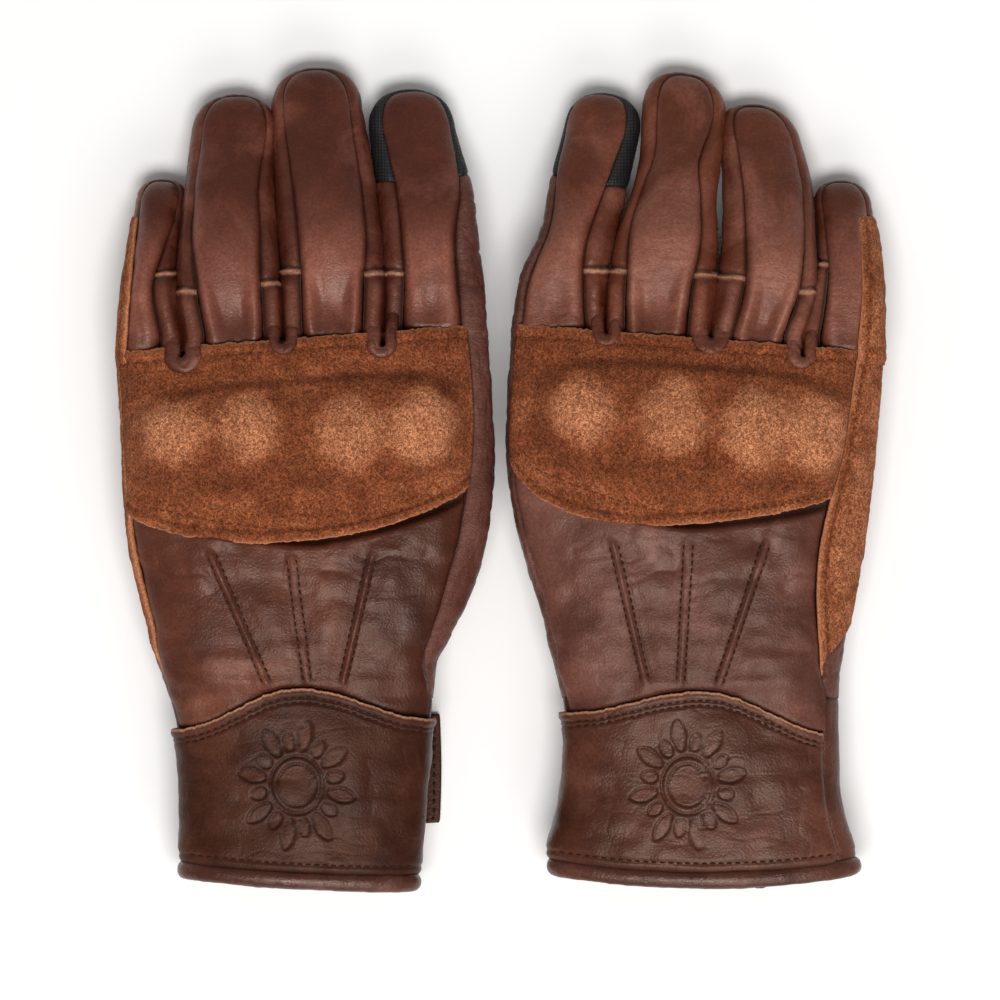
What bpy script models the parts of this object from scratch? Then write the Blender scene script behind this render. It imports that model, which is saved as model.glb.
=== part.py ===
"""A pair of short leather riding gloves, lying palm down with the thumbs folded under the palms.

+Z is up, +Y points to the fingertips, and the origin is under the middle of the pair, on the table.
Design sizes are in millimetres. Each glove has a frame of its own: u runs across the hand towards the
thumb, v runs from the wrist to the fingertips. The right glove is the one at +X, with its thumb at -u.
"""

import math

import bmesh
import bpy

MM = 0.001
GLOVE_CENTRE = 58.5  # from the middle of the pair to the middle of a hand
LEATHER = 1.3
GAP = 0.3  # between pieces that are sewn or pressed together
LINING = 0.8
LINING_DEPTH = 3.0  # from the outside of the hand to the outside of the lining
CUFF_LIFT = 0.6  # of the cuff's back over the panel under it
COVER_GAP = 0.5  # of the knuckle insert and its cover over the back panel
TABLE_GAP = 0.3

# The hand, as (v, edge on the little finger's side, edge on the thumb's side).
OUTLINE = {
    "left": [(-118, -37, 34.5), (-95, -37.5, 35.5), (-68, -40, 38), (-42, -47.5, 46),
             (-15, -53.3, 55.3), (10, -55, 56.3), (46, -57, 54.5)],
    "right": [(-118, -47.5, 43), (-95, -43.5, 40), (-68, -42.8, 39.3), (-42, -47, 45.2),
              (-15, -51.8, 53), (10, -54.5, 56.2), (46, -57.7, 54.5)],
}
# How far in from the edge the back panel's two seams lie, as (v, little finger's side, thumb's side).
SEAM_INSET = {
    "left": [(-66, 1.5, 1), (-36, 2.4, 7.8), (-18, 2.2, 8.5), (20, 1.8, 6), (46, 1.8, 6.5)],
    "right": [(-66, 4, 1), (-25, 13, 1.5), (10, 10, 1.5), (46, 7, 2)],
}
# Height of the top of the hand and of its widest line, as (v, widest line, top).
HEIGHTS = [(-118, 18, 31), (-68, 18.5, 33), (-42, 21, 34.5), (10, 22.5, 35.5), (46, 22.5, 33.5)]
CUFF_UNDERSIDE = 4.5
PALM_UNDERSIDE = 11.5  # room for the folded thumb
PALM_RISE = (-66, -46)  # where the underside climbs from the cuff to the palm
TOP_ROUNDNESS = 2.4
HAND_ROWS = (-66, -60, -55, -50, -42, -30, -15, 0, 15, 30)
BASE_ROUNDNESS = 5.0

KNUCKLE_LINE = 41.5  # v of the line where the fingers start, at u = 0
KNUCKLE_SLOPE = 0.075
FINGER_ROUNDNESS = 2.4
PALM_SEAM = 0.72  # the lower seam of a finger's side wall, as a share of its half width
TIP_SEAM = 0.93  # where the back strip ends at the fingertip
TIP_HALF_HEIGHT = 8.2
TOUCH_TIP_LENGTH = 27
SIDE_CELLS = 5
TIP_CELLS = 4
FLEX_RANGE = 75

# name: (base u, tip u, tip v, sideways bow, half widths at base, middle and tip, seam insets)
FINGERS = {
    "left": {
        "index": (39.2, 33.2, 117.5, 0.6, (14.2, 14.0, 12.6), (4.5, 4.2)),
        "middle": (8.85, 3.8, 124.0, 0.8, (14.3, 15.0, 13.2), (5.0, 3.7)),
        "ring": (-20.9, -21.0, 115.9, -1.2, (13.6, 13.4, 11.6), (2.9, 3.7)),
        "little": (-46.3, -42.8, 90.2, -0.3, (9.8, 8.2, 7.6), (1.2, 4.2)),
    },
    "right": {
        "index": (40.6, 26.7, 116.2, -0.5, (13.3, 11.5, 11.2), (5.5, 1.2)),
        "middle": (11.2, 3.2, 122.3, -1.3, (14.2, 13.2, 11.8), (3.9, 4.0)),
        "ring": (-18.5, -18.0, 112.7, -3.4, (13.3, 13.4, 11.2), (2.8, 5.0)),
        "little": (-44.9, -42.8, 89.9, -2.2, (11.2, 10.0, 9.2), (5.2, 3.4)),
    },
}
# Crotch gussets: (u between two fingers, depth behind the knuckle line).
CROTCHES = {
    "left": {"index_middle": (24.0, 7.0), "middle_ring": (-6.3, 4.8), "ring_little": (-35.6, 7.8)},
    "right": {"index_middle": (26.4, 4.4), "middle_ring": (-4.1, 4.9), "ring_little": (-32.9, 6.8)},
}
GUSSET_HALF_WIDTH = 4.9
GUSSET_SLOT = 1.2  # half the slot between two finger bases

# The raw upper edge of the cuff: (v at its crest, drop on the little finger's side, drop on the thumb's).
CUFF_CREST = {"left": (-62.6, 12.3, 9.3), "right": (-63.5, 13.5, 6.6)}
# The hem: (v in the middle, slant towards the thumb, rise towards both sides).
HEM = {"left": (-116.4, -2.0, 0.0), "right": (-117.2, 0.0, 6.0)}
CUFF_LAP = 12  # the back panel runs on this far under the cuff
PIPING_RADIUS = 2.7
STRAP = {"left": (-14, 41), "right": (-20, 34)}  # u of the strap's sewn end and of its free end
STRAP_V = (-105.5, -69.5)
STRAP_THICKNESS = 1.8
PAD_THICKNESS = 0.9
STRAP_RANGE = 150

SIDE_STRIP_START = -64
SIDE_STRIP_WRAP = 0.8  # how far under the hand the suede strip reaches, as a share of the half width

THUMB_PIVOT = (36, -30)
THUMB_TIP = (6, 26)
THUMB_HALF_WIDTHS = (12.6, 12.4, 11.2)
THUMB_TOP = 10.9
THUMB_HOLE = 9.5
THUMB_RANGE = 60

ARMOUR_V = (-1, 29)
ARMOUR_U = (-46, 44)
ARMOUR_HEIGHT = 2.6
KNUCKLE_RISE = 2.6
COVER_MARGIN = 9

FINISHES = {
    # colour, roughness
    "leather": ((0.10, 0.030, 0.017), 0.42),
    "dark_leather": ((0.055, 0.019, 0.013), 0.40),
    "suede": ((0.26, 0.088, 0.038), 0.95),
    "touch_fabric": ((0.006, 0.006, 0.007), 0.6),
    "lining": ((0.045, 0.036, 0.032), 0.95),
    "armour": ((0.02, 0.02, 0.02), 0.5),
    "hook_and_loop": ((0.012, 0.012, 0.012), 0.9),
}


# --- small tools -----------------------------------------------------------------------------------


def lerp(a, b, t):
    return a + (b - a) * t


def smoothstep(t):
    t = min(1.0, max(0.0, t))
    return t * t * (3 - 2 * t)


def along(stations, v, column):
    """A value that runs smoothly through stations, a list of tuples that start with v."""
    last = len(stations) - 1
    if v <= stations[0][0]:
        return stations[0][column]
    if v >= stations[last][0]:
        return stations[last][column]
    i = max(k for k in range(last) if stations[k][0] <= v)

    def slope(k):
        a, b = stations[max(k - 1, 0)], stations[min(k + 1, last)]
        return (b[column] - a[column]) / (b[0] - a[0])

    step = stations[i + 1][0] - stations[i][0]
    t = (v - stations[i][0]) / step
    here, there = stations[i][column], stations[i + 1][column]
    return ((2 * t**3 - 3 * t**2 + 1) * here + (t**3 - 2 * t**2 + t) * step * slope(i)
            + (3 * t**2 - 2 * t**3) * there + (t**3 - t**2) * step * slope(i + 1))


def between(stops, t):
    """A point along a list of numbers, at t from 0 to 1, with equal shares from stop to stop."""
    i = min(int(t * (len(stops) - 1) + 1e-6), len(stops) - 2)
    return lerp(stops[i], stops[i + 1], t * (len(stops) - 1) - i)


def rounded(share, roundness):
    """Height of a superellipse's edge at a share of its half width, from 1 in the middle to 0."""
    return max(0.0, 1 - min(1.0, abs(share)) ** roundness) ** (1 / roundness)


def power_cos(angle, roundness):
    c = math.cos(angle)
    return math.copysign(abs(c) ** (2 / roundness), c)


def power_sin(angle, roundness):
    s = math.sin(angle)
    return math.copysign(abs(s) ** (2 / roundness), s)


def angle_at(share, roundness):
    """The angle whose power_cos is share."""
    return math.acos(min(1.0, max(-1.0, math.copysign(abs(share) ** (roundness / 2), share))))


# --- objects ---------------------------------------------------------------------------------------


def clear_scene():
    for obj in list(bpy.data.objects):
        bpy.data.objects.remove(obj, do_unlink=True)


def collection(name):
    made = bpy.data.collections.new(name)
    bpy.context.scene.collection.children.link(made)
    return made


def material(finish):
    made = bpy.data.materials.get(finish)
    if made is None:
        colour, roughness = FINISHES[finish]
        made = bpy.data.materials.new(finish)
        made.use_nodes = True
        shader = made.node_tree.nodes["Principled BSDF"]
        shader.inputs["Base Color"].default_value = (*colour, 1)
        shader.inputs["Roughness"].default_value = roughness
    return made


def place(name, data, finish, into):
    obj = bpy.data.objects.new(name, data)
    into.objects.link(obj)
    if finish:
        data.materials.append(material(finish))
    return obj


def to_world(side, u, v, z):
    sign = -1 if side == "left" else 1
    return ((sign * GLOVE_CENTRE - sign * u) * MM, v * MM, z * MM)


def sheet(name, side, point, across, lengthwise, finish, into, thickness=LEATHER):
    """A shell of across x lengthwise cells. point(a, b, depth) is on its face, or depth under it."""
    mesh = bpy.data.meshes.new(name)
    bm = bmesh.new()
    a_layer = bm.verts.layers.float.new("a")
    b_layer = bm.verts.layers.float.new("b")
    bmesh.ops.create_grid(bm, x_segments=across, y_segments=lengthwise, size=0.5)
    for vert in bm.verts:
        a, b = round((vert.co.x + 0.5) * across) / across, round((vert.co.y + 0.5) * lengthwise) / lengthwise
        vert[a_layer], vert[b_layer] = a, b
        vert.co = to_world(side, *point(a, b, 0))
    bmesh.ops.remove_doubles(bm, verts=bm.verts, dist=2e-5)
    grown = bmesh.ops.extrude_face_region(bm, geom=bm.faces[:], use_keep_orig=True)["geom"]
    for vert in grown:
        if isinstance(vert, bmesh.types.BMVert):
            vert.co = to_world(side, *point(vert[a_layer], vert[b_layer], thickness))
    bmesh.ops.recalc_face_normals(bm, faces=bm.faces)
    bm.to_mesh(mesh)
    bm.free()
    return place(name, mesh, finish, into)


def plate(name, side, outline, low, high, finish, into, bevel=0.0):
    """A flat outline of (u, v) points between two heights."""
    curve = bpy.data.curves.new(name, "CURVE")
    curve.dimensions = "2D"
    curve.fill_mode = "BOTH"
    curve.extrude = (high - low) / 2 * MM
    spline = curve.splines.new("POLY")
    spline.points.add(len(outline) - 1)
    for corner, (u, v) in zip(spline.points, outline):
        x, y, _ = to_world(side, u, v, 0)
        corner.co = (x, y, 0, 1)
    spline.use_cyclic_u = True
    obj = place(name, curve, finish, into)
    obj.location.z = (low + high) / 2 * MM
    if bevel:
        weld = obj.modifiers.new("weld", "WELD")
        weld.merge_threshold = 1e-5
        edge = obj.modifiers.new("edge", "BEVEL")
        edge.width = bevel * MM
        edge.segments = 1
        edge.angle_limit = math.radians(50)
    return obj


def rounded_box(low, high, radius, steps=3):
    """Outline of a rectangle with round corners, from two opposite corners."""
    points = []
    for k, (u, v) in enumerate([(high[0], high[1]), (low[0], high[1]), (low[0], low[1]), (high[0], low[1])]):
        centre = (u - math.copysign(radius, u - (low[0] + high[0]) / 2),
                  v - math.copysign(radius, v - (low[1] + high[1]) / 2))
        for i in range(steps + 1):
            turn = math.pi / 2 * (k + i / steps)
            points.append((centre[0] + radius * math.cos(turn), centre[1] + radius * math.sin(turn)))
    return points


def cut(obj, cutter):
    boolean = obj.modifiers.new("cut_" + cutter.name, "BOOLEAN")
    boolean.operation = "DIFFERENCE"
    boolean.solver = "EXACT"
    boolean.object = cutter


def as_cutter(obj):
    obj.hide_render = True
    obj.display_type = "WIRE"
    return obj


# --- the hand --------------------------------------------------------------------------------------


def knuckle_line(u):
    return KNUCKLE_LINE + KNUCKLE_SLOPE * u


def underside(v):
    low, high = PALM_RISE
    return lerp(CUFF_UNDERSIDE, PALM_UNDERSIDE, smoothstep((v - low) / (high - low)))


def hand_section(side, v):
    """(centre u, half width, widest line's z, height above it, depth below it) of the hand at v."""
    little, thumb = along(OUTLINE[side], v, 1), along(OUTLINE[side], v, 2)
    widest, top = along(HEIGHTS, v, 1), along(HEIGHTS, v, 2)
    return (little + thumb) / 2, (thumb - little) / 2, widest, top - widest, widest - underside(v)


def hand_point(side, v, angle, out=0.0):
    """A point on the hand's outer surface. angle 0 is the thumb's side, 90 degrees the top."""
    centre, half, widest, above, below = hand_section(side, v)
    if math.sin(angle) >= 0:
        roundness, height = TOP_ROUNDNESS, above
    else:
        roundness, height = BASE_ROUNDNESS, below
    return (centre + (half + out) * power_cos(angle, roundness), v,
            widest + (height + out) * power_sin(angle, roundness))


def hand_top(side, u, v):
    centre, half, widest, above, _ = hand_section(side, v)
    return widest + above * rounded((u - centre) / half, TOP_ROUNDNESS)


def seam_angles(side, v, extra=0.0):
    """Angles of the back panel's seams: (thumb's side, little finger's side)."""
    _, half, _, _, _ = hand_section(side, v)
    thumb = along(SEAM_INSET[side], v, 2) + extra
    little = along(SEAM_INSET[side], v, 1) + extra
    return angle_at(1 - thumb / half, TOP_ROUNDNESS), math.pi - angle_at(1 - little / half, TOP_ROUNDNESS)


def strip_lower_angle(side, v, extra=0.0):
    """Angle of the suede strip's lower edge, which meets its upper edge at the strip's wrist end."""
    _, half, _, _, _ = hand_section(side, v)
    upper = seam_angles(side, v)[1]
    lower = math.pi + angle_at(SIDE_STRIP_WRAP, BASE_ROUNDNESS)
    reach = smoothstep((v - SIDE_STRIP_START) / 34)
    return max(lerp(upper, lower, reach), upper + 2 / half) + extra / half


def crest_line(side, share):
    """v of the cuff's raw upper edge, at a share of the half width, positive towards the thumb."""
    crest, little_drop, thumb_drop = CUFF_CREST[side]
    drop = thumb_drop if share > 0 else little_drop
    return crest - drop * (1 - math.cos(math.pi * share)) / 2


def hem_line(side, share):
    middle, slant, rise = HEM[side]
    return middle + slant * share + rise * share * share


def on_hand(side, first, angle, b, depth):
    """A point of a panel that runs from v = first to the knuckle line, at angle(v) round the hand."""
    end = KNUCKLE_LINE
    for _ in range(3):
        end = knuckle_line(hand_point(side, end, angle(end))[0]) - GAP
    v = between([*hand_rows(first), end], b)
    return hand_point(side, v, angle(v), -depth)


def hand_rows(first):
    """The rows that every panel of the hand has in common, so that their seams match."""
    return [first, *[v for v in HAND_ROWS if v > first + 0.5]]


def make_back_panel(side, into):
    first = CUFF_CREST[side][0] - CUFF_LAP

    def point(a, b, depth):
        def angle(v):
            low, high = seam_angles(side, v, GAP / 2 + (1.5 if v < HAND_ROWS[0] - 0.1 else 0))
            return lerp(low, high, a)

        return on_hand(side, first, angle, b, depth)

    return sheet(side + "_back_panel", side, point, 12, len(hand_rows(first)), "dark_leather", into)


def make_side_strip(side, into):
    def point(a, b, depth):
        def angle(v):
            return lerp(seam_angles(side, v, -GAP / 2)[1], strip_lower_angle(side, v), a)

        return on_hand(side, HAND_ROWS[0] + 0.2, angle, b, depth)

    sheet(side + "_side_strip", side, point, 4, len(hand_rows(HAND_ROWS[0])), "suede", into)


def make_palm_panel(side, into):
    def point(a, b, depth):
        def angle(v):
            return lerp(seam_angles(side, v, -GAP / 2)[0], strip_lower_angle(side, v, GAP) - 2 * math.pi, a)

        return on_hand(side, HAND_ROWS[0], angle, b, depth)

    return sheet(side + "_palm_panel", side, point, 16, len(hand_rows(HAND_ROWS[0])), "leather", into)


def make_lining(side, into):
    rows = [HEM[side][0] + 8, -96, -80, -66, -58, -50, -42, -20, 5, 29.5]

    def point(a, b, depth):
        return hand_point(side, between(rows, b), 2 * math.pi * a, -LINING_DEPTH - depth)

    return sheet(side + "_hand_lining", side, point, 22, len(rows) - 1, "lining", into, LINING)


def make_cuff_back(side, into):
    low, high = seam_angles(side, HAND_ROWS[0], GAP / 2)

    def point(a, b, depth):
        angle = lerp(low, high, a)
        share = power_cos(angle, TOP_ROUNDNESS)
        v = lerp(hem_line(side, share), crest_line(side, share), b)
        return hand_point(side, v, angle, CUFF_LIFT + LEATHER - depth)

    sheet(side + "_cuff_back", side, point, 12, 4, "dark_leather", into)


def make_cuff_palm(side, into):
    first, last = seam_angles(side, HAND_ROWS[0], -GAP / 2)

    def point(a, b, depth):
        angle = lerp(first, last - 2 * math.pi, a)
        roundness = TOP_ROUNDNESS if math.sin(angle) > 0 else BASE_ROUNDNESS
        share = power_cos(angle, roundness)
        v = between([hem_line(side, share), -100, -88, -77, HAND_ROWS[0] - GAP], b)
        return hand_point(side, v, angle, -depth)

    sheet(side + "_cuff_palm", side, point, 20, 4, "dark_leather", into)


def make_piping(side, into):
    """The rolled hem, a bead right round the mouth of the cuff."""
    curve = bpy.data.curves.new(side + "_cuff_piping", "CURVE")
    curve.dimensions = "3D"
    curve.bevel_depth = PIPING_RADIUS * MM
    curve.bevel_resolution = 1
    spline = curve.splines.new("POLY")
    count = 28
    spline.points.add(count - 1)
    for i, corner in enumerate(spline.points):
        angle = 2 * math.pi * (i + 0.5) / count
        roundness = TOP_ROUNDNESS if math.sin(angle) > 0 else BASE_ROUNDNESS
        share = power_cos(angle, roundness)
        u, _, z = hand_point(side, HEM[side][0], angle)
        v = hem_line(side, share) - PIPING_RADIUS - 0.6
        corner.co = (*to_world(side, u, v, z), 1)
    spline.use_cyclic_u = True
    return place(side + "_cuff_piping", curve, "dark_leather", into)


def gusset_outline(side, crotch, widen=0.0, front=0.0):
    """A U round the slot between two fingers, open towards the fingertips."""
    u, depth = CROTCHES[side][crotch]
    back = knuckle_line(u) - GAP
    outer, inner = GUSSET_HALF_WIDTH + widen, GUSSET_SLOT
    steps = 8
    bow = [(u - outer * math.cos(math.pi * i / steps), back - (depth + widen) * math.sin(math.pi * i / steps))
           for i in range(steps + 1)]
    bow = [(u - outer, knuckle_line(u - outer) - GAP + front), *bow[1:-1],
           (u + outer, knuckle_line(u + outer) - GAP + front)]
    if widen:
        return bow
    slot = depth - 3.2
    inside = [(u + inner * math.cos(math.pi * i / 4), back - slot * math.sin(math.pi * i / 4))
              for i in range(5)]
    inside[0] = (u + inner, knuckle_line(u + inner) - GAP)
    inside[-1] = (u - inner, knuckle_line(u - inner) - GAP)
    return bow + inside


def make_gussets(side, into, cutters, panels):
    for crotch, (u, _) in CROTCHES[side].items():
        top = hand_top(side, u, KNUCKLE_LINE) + 1.2
        plate(f"{side}_crotch_{crotch}", side, gusset_outline(side, crotch), PALM_UNDERSIDE + 0.2, top,
              "leather", into, bevel=1.0)
        notch = plate(f"{side}_notch_{crotch}", side, gusset_outline(side, crotch, GAP, 3.0),
                      PALM_UNDERSIDE - 4, top + 8, None, cutters)
        notch = as_cutter(as_mesh(notch, cutters))
        for panel in panels:
            cut(panel, notch)


def as_mesh(obj, into):
    """The same object as a welded mesh, so that it can cut or be cut."""
    bpy.context.view_layer.update()
    mesh = bpy.data.meshes.new_from_object(obj.evaluated_get(bpy.context.evaluated_depsgraph_get()))
    name, place_at = obj.name, obj.matrix_world.copy()
    bpy.data.objects.remove(obj, do_unlink=True)
    bm = bmesh.new()
    bm.from_mesh(mesh)
    bmesh.ops.remove_doubles(bm, verts=bm.verts, dist=1e-6)
    bmesh.ops.recalc_face_normals(bm, faces=bm.faces)
    bm.to_mesh(mesh)
    bm.free()
    made = place(name, mesh, None, into)
    made.matrix_world = place_at
    return made


# --- knuckle armour and its suede cover --------------------------------------------------------------


def knuckle_bump(side, u, v):
    """Height of the four knuckle domes over the armour's base, from 0 to 1."""
    rise = 0.0
    for base_u, tip_u, *_ in FINGERS[side].values():
        lean = (tip_u - base_u) * 0.15
        across = (u - base_u + lean) / 13.5
        length = (v - (ARMOUR_V[0] + ARMOUR_V[1]) / 2 - KNUCKLE_SLOPE * u) / 14.0
        rise = max(rise, 1 - across * across - length * length)
    return smoothstep(rise)


def armour_share(side, u, v):
    """1 well inside the armour's outline, falling to 0 at its edge."""
    centre, half_u = sum(ARMOUR_U) / 2, (ARMOUR_U[1] - ARMOUR_U[0]) / 2
    middle, half_v = sum(ARMOUR_V) / 2, (ARMOUR_V[1] - ARMOUR_V[0]) / 2
    across = max(0.0, abs(u - centre) - half_u + 10) / 10
    length = max(0.0, abs(v - middle - KNUCKLE_SLOPE * u) - half_v + 9) / 9
    return smoothstep(1.35 - math.hypot(across, length))


def on_back(side, angle, v, lift):
    """A point over the back of the hand, at angle and v, with lift(u, v) as its height."""
    u, v, _ = hand_point(side, v, angle)
    return hand_point(side, v, angle, lift(u, v))


def make_armour(side, into):
    def point(a, b, depth):
        pull = 1 - 0.28 * abs(2 * b - 1) ** 3
        half = (ARMOUR_U[1] - ARMOUR_U[0]) / 2
        u = sum(ARMOUR_U) / 2 - half * (2 * a - 1) * pull
        v = lerp(*ARMOUR_V, b) + KNUCKLE_SLOPE * u
        centre, half, *_ = hand_section(side, v)

        def lift(u, v):
            height = 1.0 + (ARMOUR_HEIGHT - 1.0) * armour_share(side, u, v)
            return COVER_GAP + (0 if depth else height + KNUCKLE_RISE * knuckle_bump(side, u, v))

        return on_back(side, angle_at((u - centre) / half, TOP_ROUNDNESS), v, lift)

    sheet(side + "_knuckle_armour", side, point, 16, 6, "armour", into)


def cover_edge(side, share):
    """v of the cover's lower edge, a bow that hangs lowest in the middle of the hand."""
    return -8.5 - 10.5 * math.cos(math.pi / 2 * share) + 2.5 * share


def make_cover(side, into):
    def point(a, b, depth):
        share = 1 - 2 * a
        v = 10.0
        for _ in range(3):
            low, high = seam_angles(side, v, GAP)
            u = hand_point(side, v, lerp(low, high, a))[0]
            v = lerp(cover_edge(side, share), knuckle_line(u) - GAP, b)
        low, high = seam_angles(side, v, GAP)

        def lift(u, v):
            height = (ARMOUR_HEIGHT + 0.8) * armour_share_wide(side, u, v)
            return COVER_GAP + height + KNUCKLE_RISE * knuckle_bump(side, u, v) + LEATHER - depth

        return on_back(side, lerp(low, high, a), v, lift)

    return sheet(side + "_knuckle_cover", side, point, 20, 9, "suede", into)


def armour_share_wide(side, u, v):
    """armour_share spread outwards, so that the cover clears the armour's edge."""
    centre, half_u = sum(ARMOUR_U) / 2, (ARMOUR_U[1] - ARMOUR_U[0]) / 2 + 4
    middle, half_v = sum(ARMOUR_V) / 2, (ARMOUR_V[1] - ARMOUR_V[0]) / 2 + 6
    across = max(0.0, abs(u - centre) - half_u + 6) / 6
    length = max(0.0, abs(v - middle - KNUCKLE_SLOPE * u) - half_v + 8) / 8
    return smoothstep(1.6 - math.hypot(across, length))


# --- fingers ---------------------------------------------------------------------------------------


class Finger:
    """A finger's shape. x runs across it towards the thumb, s from the knuckle line to the fingertip."""

    def __init__(self, side, name):
        base_u, tip_u, tip_v, self.bow, self.widths, self.insets = FINGERS[side][name]
        self.side, self.name = side, name
        self.base = (base_u, knuckle_line(base_u))
        across, ahead = tip_u - base_u, tip_v - self.base[1]
        self.length = math.hypot(across, ahead)
        self.lean = math.atan2(across, ahead)
        self.round = self.widths[2] * 0.95
        self.straight = self.length - self.round
        top = hand_top(side, base_u, self.base[1])
        self.base_half_height = (top - PALM_UNDERSIDE) / 2

    def half_width(self, s):
        t = min(1.0, max(0.0, s / self.straight))
        base, middle, tip = self.widths
        return base * (1 - t) * (1 - 2 * t) + middle * 4 * t * (1 - t) + tip * t * (2 * t - 1)

    def heights(self, s):
        """(z of the middle, half height) at s."""
        t = min(1.0, max(0.0, s / self.straight))
        half = lerp(self.base_half_height, TIP_HALF_HEIGHT, t)
        return lerp(PALM_UNDERSIDE, TABLE_GAP, t) + half, half

    def place(self, x, s, z):
        t = min(1.0, max(0.0, s / self.length))
        x = x + self.bow * 4 * t * (1 - t)
        u = self.base[0] + s * math.sin(self.lean) + x * math.cos(self.lean)
        v = self.base[1] + s * math.cos(self.lean) - x * math.sin(self.lean)
        return u, v, z

    def start(self, x):
        """s where the knuckle line crosses at x, so that a finger's foot lies along it."""
        slope = math.cos(self.lean) - KNUCKLE_SLOPE * math.sin(self.lean)
        return (GAP / 2 + x * (math.sin(self.lean) + KNUCKLE_SLOPE * math.cos(self.lean))) / slope

    def seam(self, toward_thumb, s, extra=0.0):
        inset = self.insets[1] if toward_thumb else self.insets[0]
        return 1 - (inset + extra) / self.half_width(s)

    def point(self, share_x, share_s, s, upper, depth):
        """A point at shares of the half width and of the tip's round, above or below the middle."""
        middle, half = self.heights(s)
        lift = (half - depth) * rounded(math.hypot(share_x, share_s), FINGER_ROUNDNESS)
        return self.place(share_x * (self.half_width(s) - depth), s + share_s * (self.round - depth),
                          middle + (lift if upper else -lift))

    def strip(self, a, b, seam_share, tip_share, upper, depth):
        """A strip down the back or the front: a across, b from foot to tip, with a round end."""
        q = math.sin(math.pi / 2 * (2 * a - 1))
        foot = self.start(q * seam_share(q > 0, 0) * self.half_width(0))
        end = self.straight + tip_share * self.round * math.sqrt(max(0.0, 1 - q * q))
        s = lerp(foot, end, b)
        beyond = max(0.0, s - self.straight) / self.round
        s = min(s, self.straight)
        return self.point(q * seam_share(q > 0, s), beyond, s, upper, depth)

    def band(self, a, b, cells, top_share, low_angle, depth, first=None):
        """The side wall: a runs round the fingertip from foot to foot, b from the upper seam down.
        It has cells along each side and four round the tip."""
        k = a * (2 * cells + TIP_CELLS) - cells - TIP_CELLS / 2
        turn = math.pi * max(-0.5, min(0.5, k / TIP_CELLS))
        back = max(0.0, abs(k) - TIP_CELLS / 2) / cells
        foot = 0.0 if first is None else first
        for _ in range(2):
            s = lerp(self.straight, foot, back)
            side_share = top_share(turn > 0, s)
            tip_share = TIP_SEAM + (side_share - self.seam(turn > 0, s))
            rim = 1 / math.hypot(math.sin(turn) / side_share, math.cos(turn) / tip_share)
            angle = lerp(angle_at(rim, FINGER_ROUNDNESS), low_angle, b)
            away = power_cos(angle, FINGER_ROUNDNESS)
            if first is None:
                foot = self.start(math.copysign(away * self.half_width(0), k))
        middle, half = self.heights(s)
        return self.place(away * math.sin(turn) * (self.half_width(s) - depth),
                          s + away * math.cos(turn) * (self.round - depth),
                          middle + (half - depth) * power_sin(angle, FINGER_ROUNDNESS))


def make_back_strip(finger, into):
    def point(a, b, depth):
        return finger.strip(a, b, lambda t, s: finger.seam(t, s, GAP / 2), TIP_SEAM - 0.045, True, depth)

    sheet(f"{finger.side}_{finger.name}_back", finger.side, point, 4, SIDE_CELLS, "leather", into)


def make_plain_finger(finger, into):
    """A finger with a back strip, a side wall that runs round the tip, and a front."""
    low = -angle_at(PALM_SEAM, FINGER_ROUNDNESS)
    name = f"{finger.side}_{finger.name}"
    front = PALM_SEAM - GAP / finger.widths[1]

    def wall(a, b, depth):
        return finger.band(a, b, SIDE_CELLS, lambda t, s: finger.seam(t, s, -GAP / 2), low, depth)

    make_back_strip(finger, into)
    sheet(name + "_side", finger.side, wall, 2 * SIDE_CELLS + TIP_CELLS, 3, "leather", into)
    sheet(name + "_front", finger.side,
          lambda a, b, depth: finger.strip(a, b, lambda t, s: front, front, False, depth),
          4, SIDE_CELLS, "leather", into)


def make_index_finger(finger, into):
    """The index finger: its front wraps round the outer side, and its tip is a touch-screen fabric."""
    low = angle_at(PALM_SEAM, FINGER_ROUNDNESS)
    name = f"{finger.side}_{finger.name}"
    touch = finger.length - TOUCH_TIP_LENGTH
    trim = 2 * GAP / finger.widths[1]

    def wall(a, b, start, end, depth):
        """From foot to touch tip (b), round the section from one angle to another (a)."""
        x = power_cos(lerp(start(0), end(0), a), FINGER_ROUNDNESS) * finger.half_width(0)
        foot = finger.start(x)
        rows = [lerp(foot, finger.straight, k / SIDE_CELLS) for k in range(SIDE_CELLS)]
        s = between([*[row for row in rows if row < touch - 3], touch - GAP], b)
        angle = lerp(start(s), end(s), a)
        middle, half = finger.heights(s)
        return finger.place(power_cos(angle, FINGER_ROUNDNESS) * (finger.half_width(s) - depth), s,
                            middle + (half - depth) * power_sin(angle, FINGER_ROUNDNESS))

    def upper(toward_thumb):
        def angle(s):
            found = angle_at(finger.seam(toward_thumb, s, -GAP / 2), FINGER_ROUNDNESS)
            return found if toward_thumb else math.pi - found
        return angle

    def side(a, b, depth):
        return wall(a, b, upper(False), lambda s: math.pi + low, depth)

    def front(a, b, depth):
        return wall(a, b, upper(True), lambda s: low + trim - math.pi, depth)

    def tip(a, b, depth):
        return finger.band(a, b, 2, lambda t, s: finger.seam(t, s, -GAP / 2), -math.pi / 2, depth, touch)

    make_back_strip(finger, into)
    sheet(name + "_side", finger.side, side, 4, 4, "leather", into)
    sheet(name + "_front", finger.side, front, 8, 4, "leather", into)
    sheet(name + "_touch_tip", finger.side, tip, 4 + TIP_CELLS, 5, "touch_fabric", into)


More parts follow.
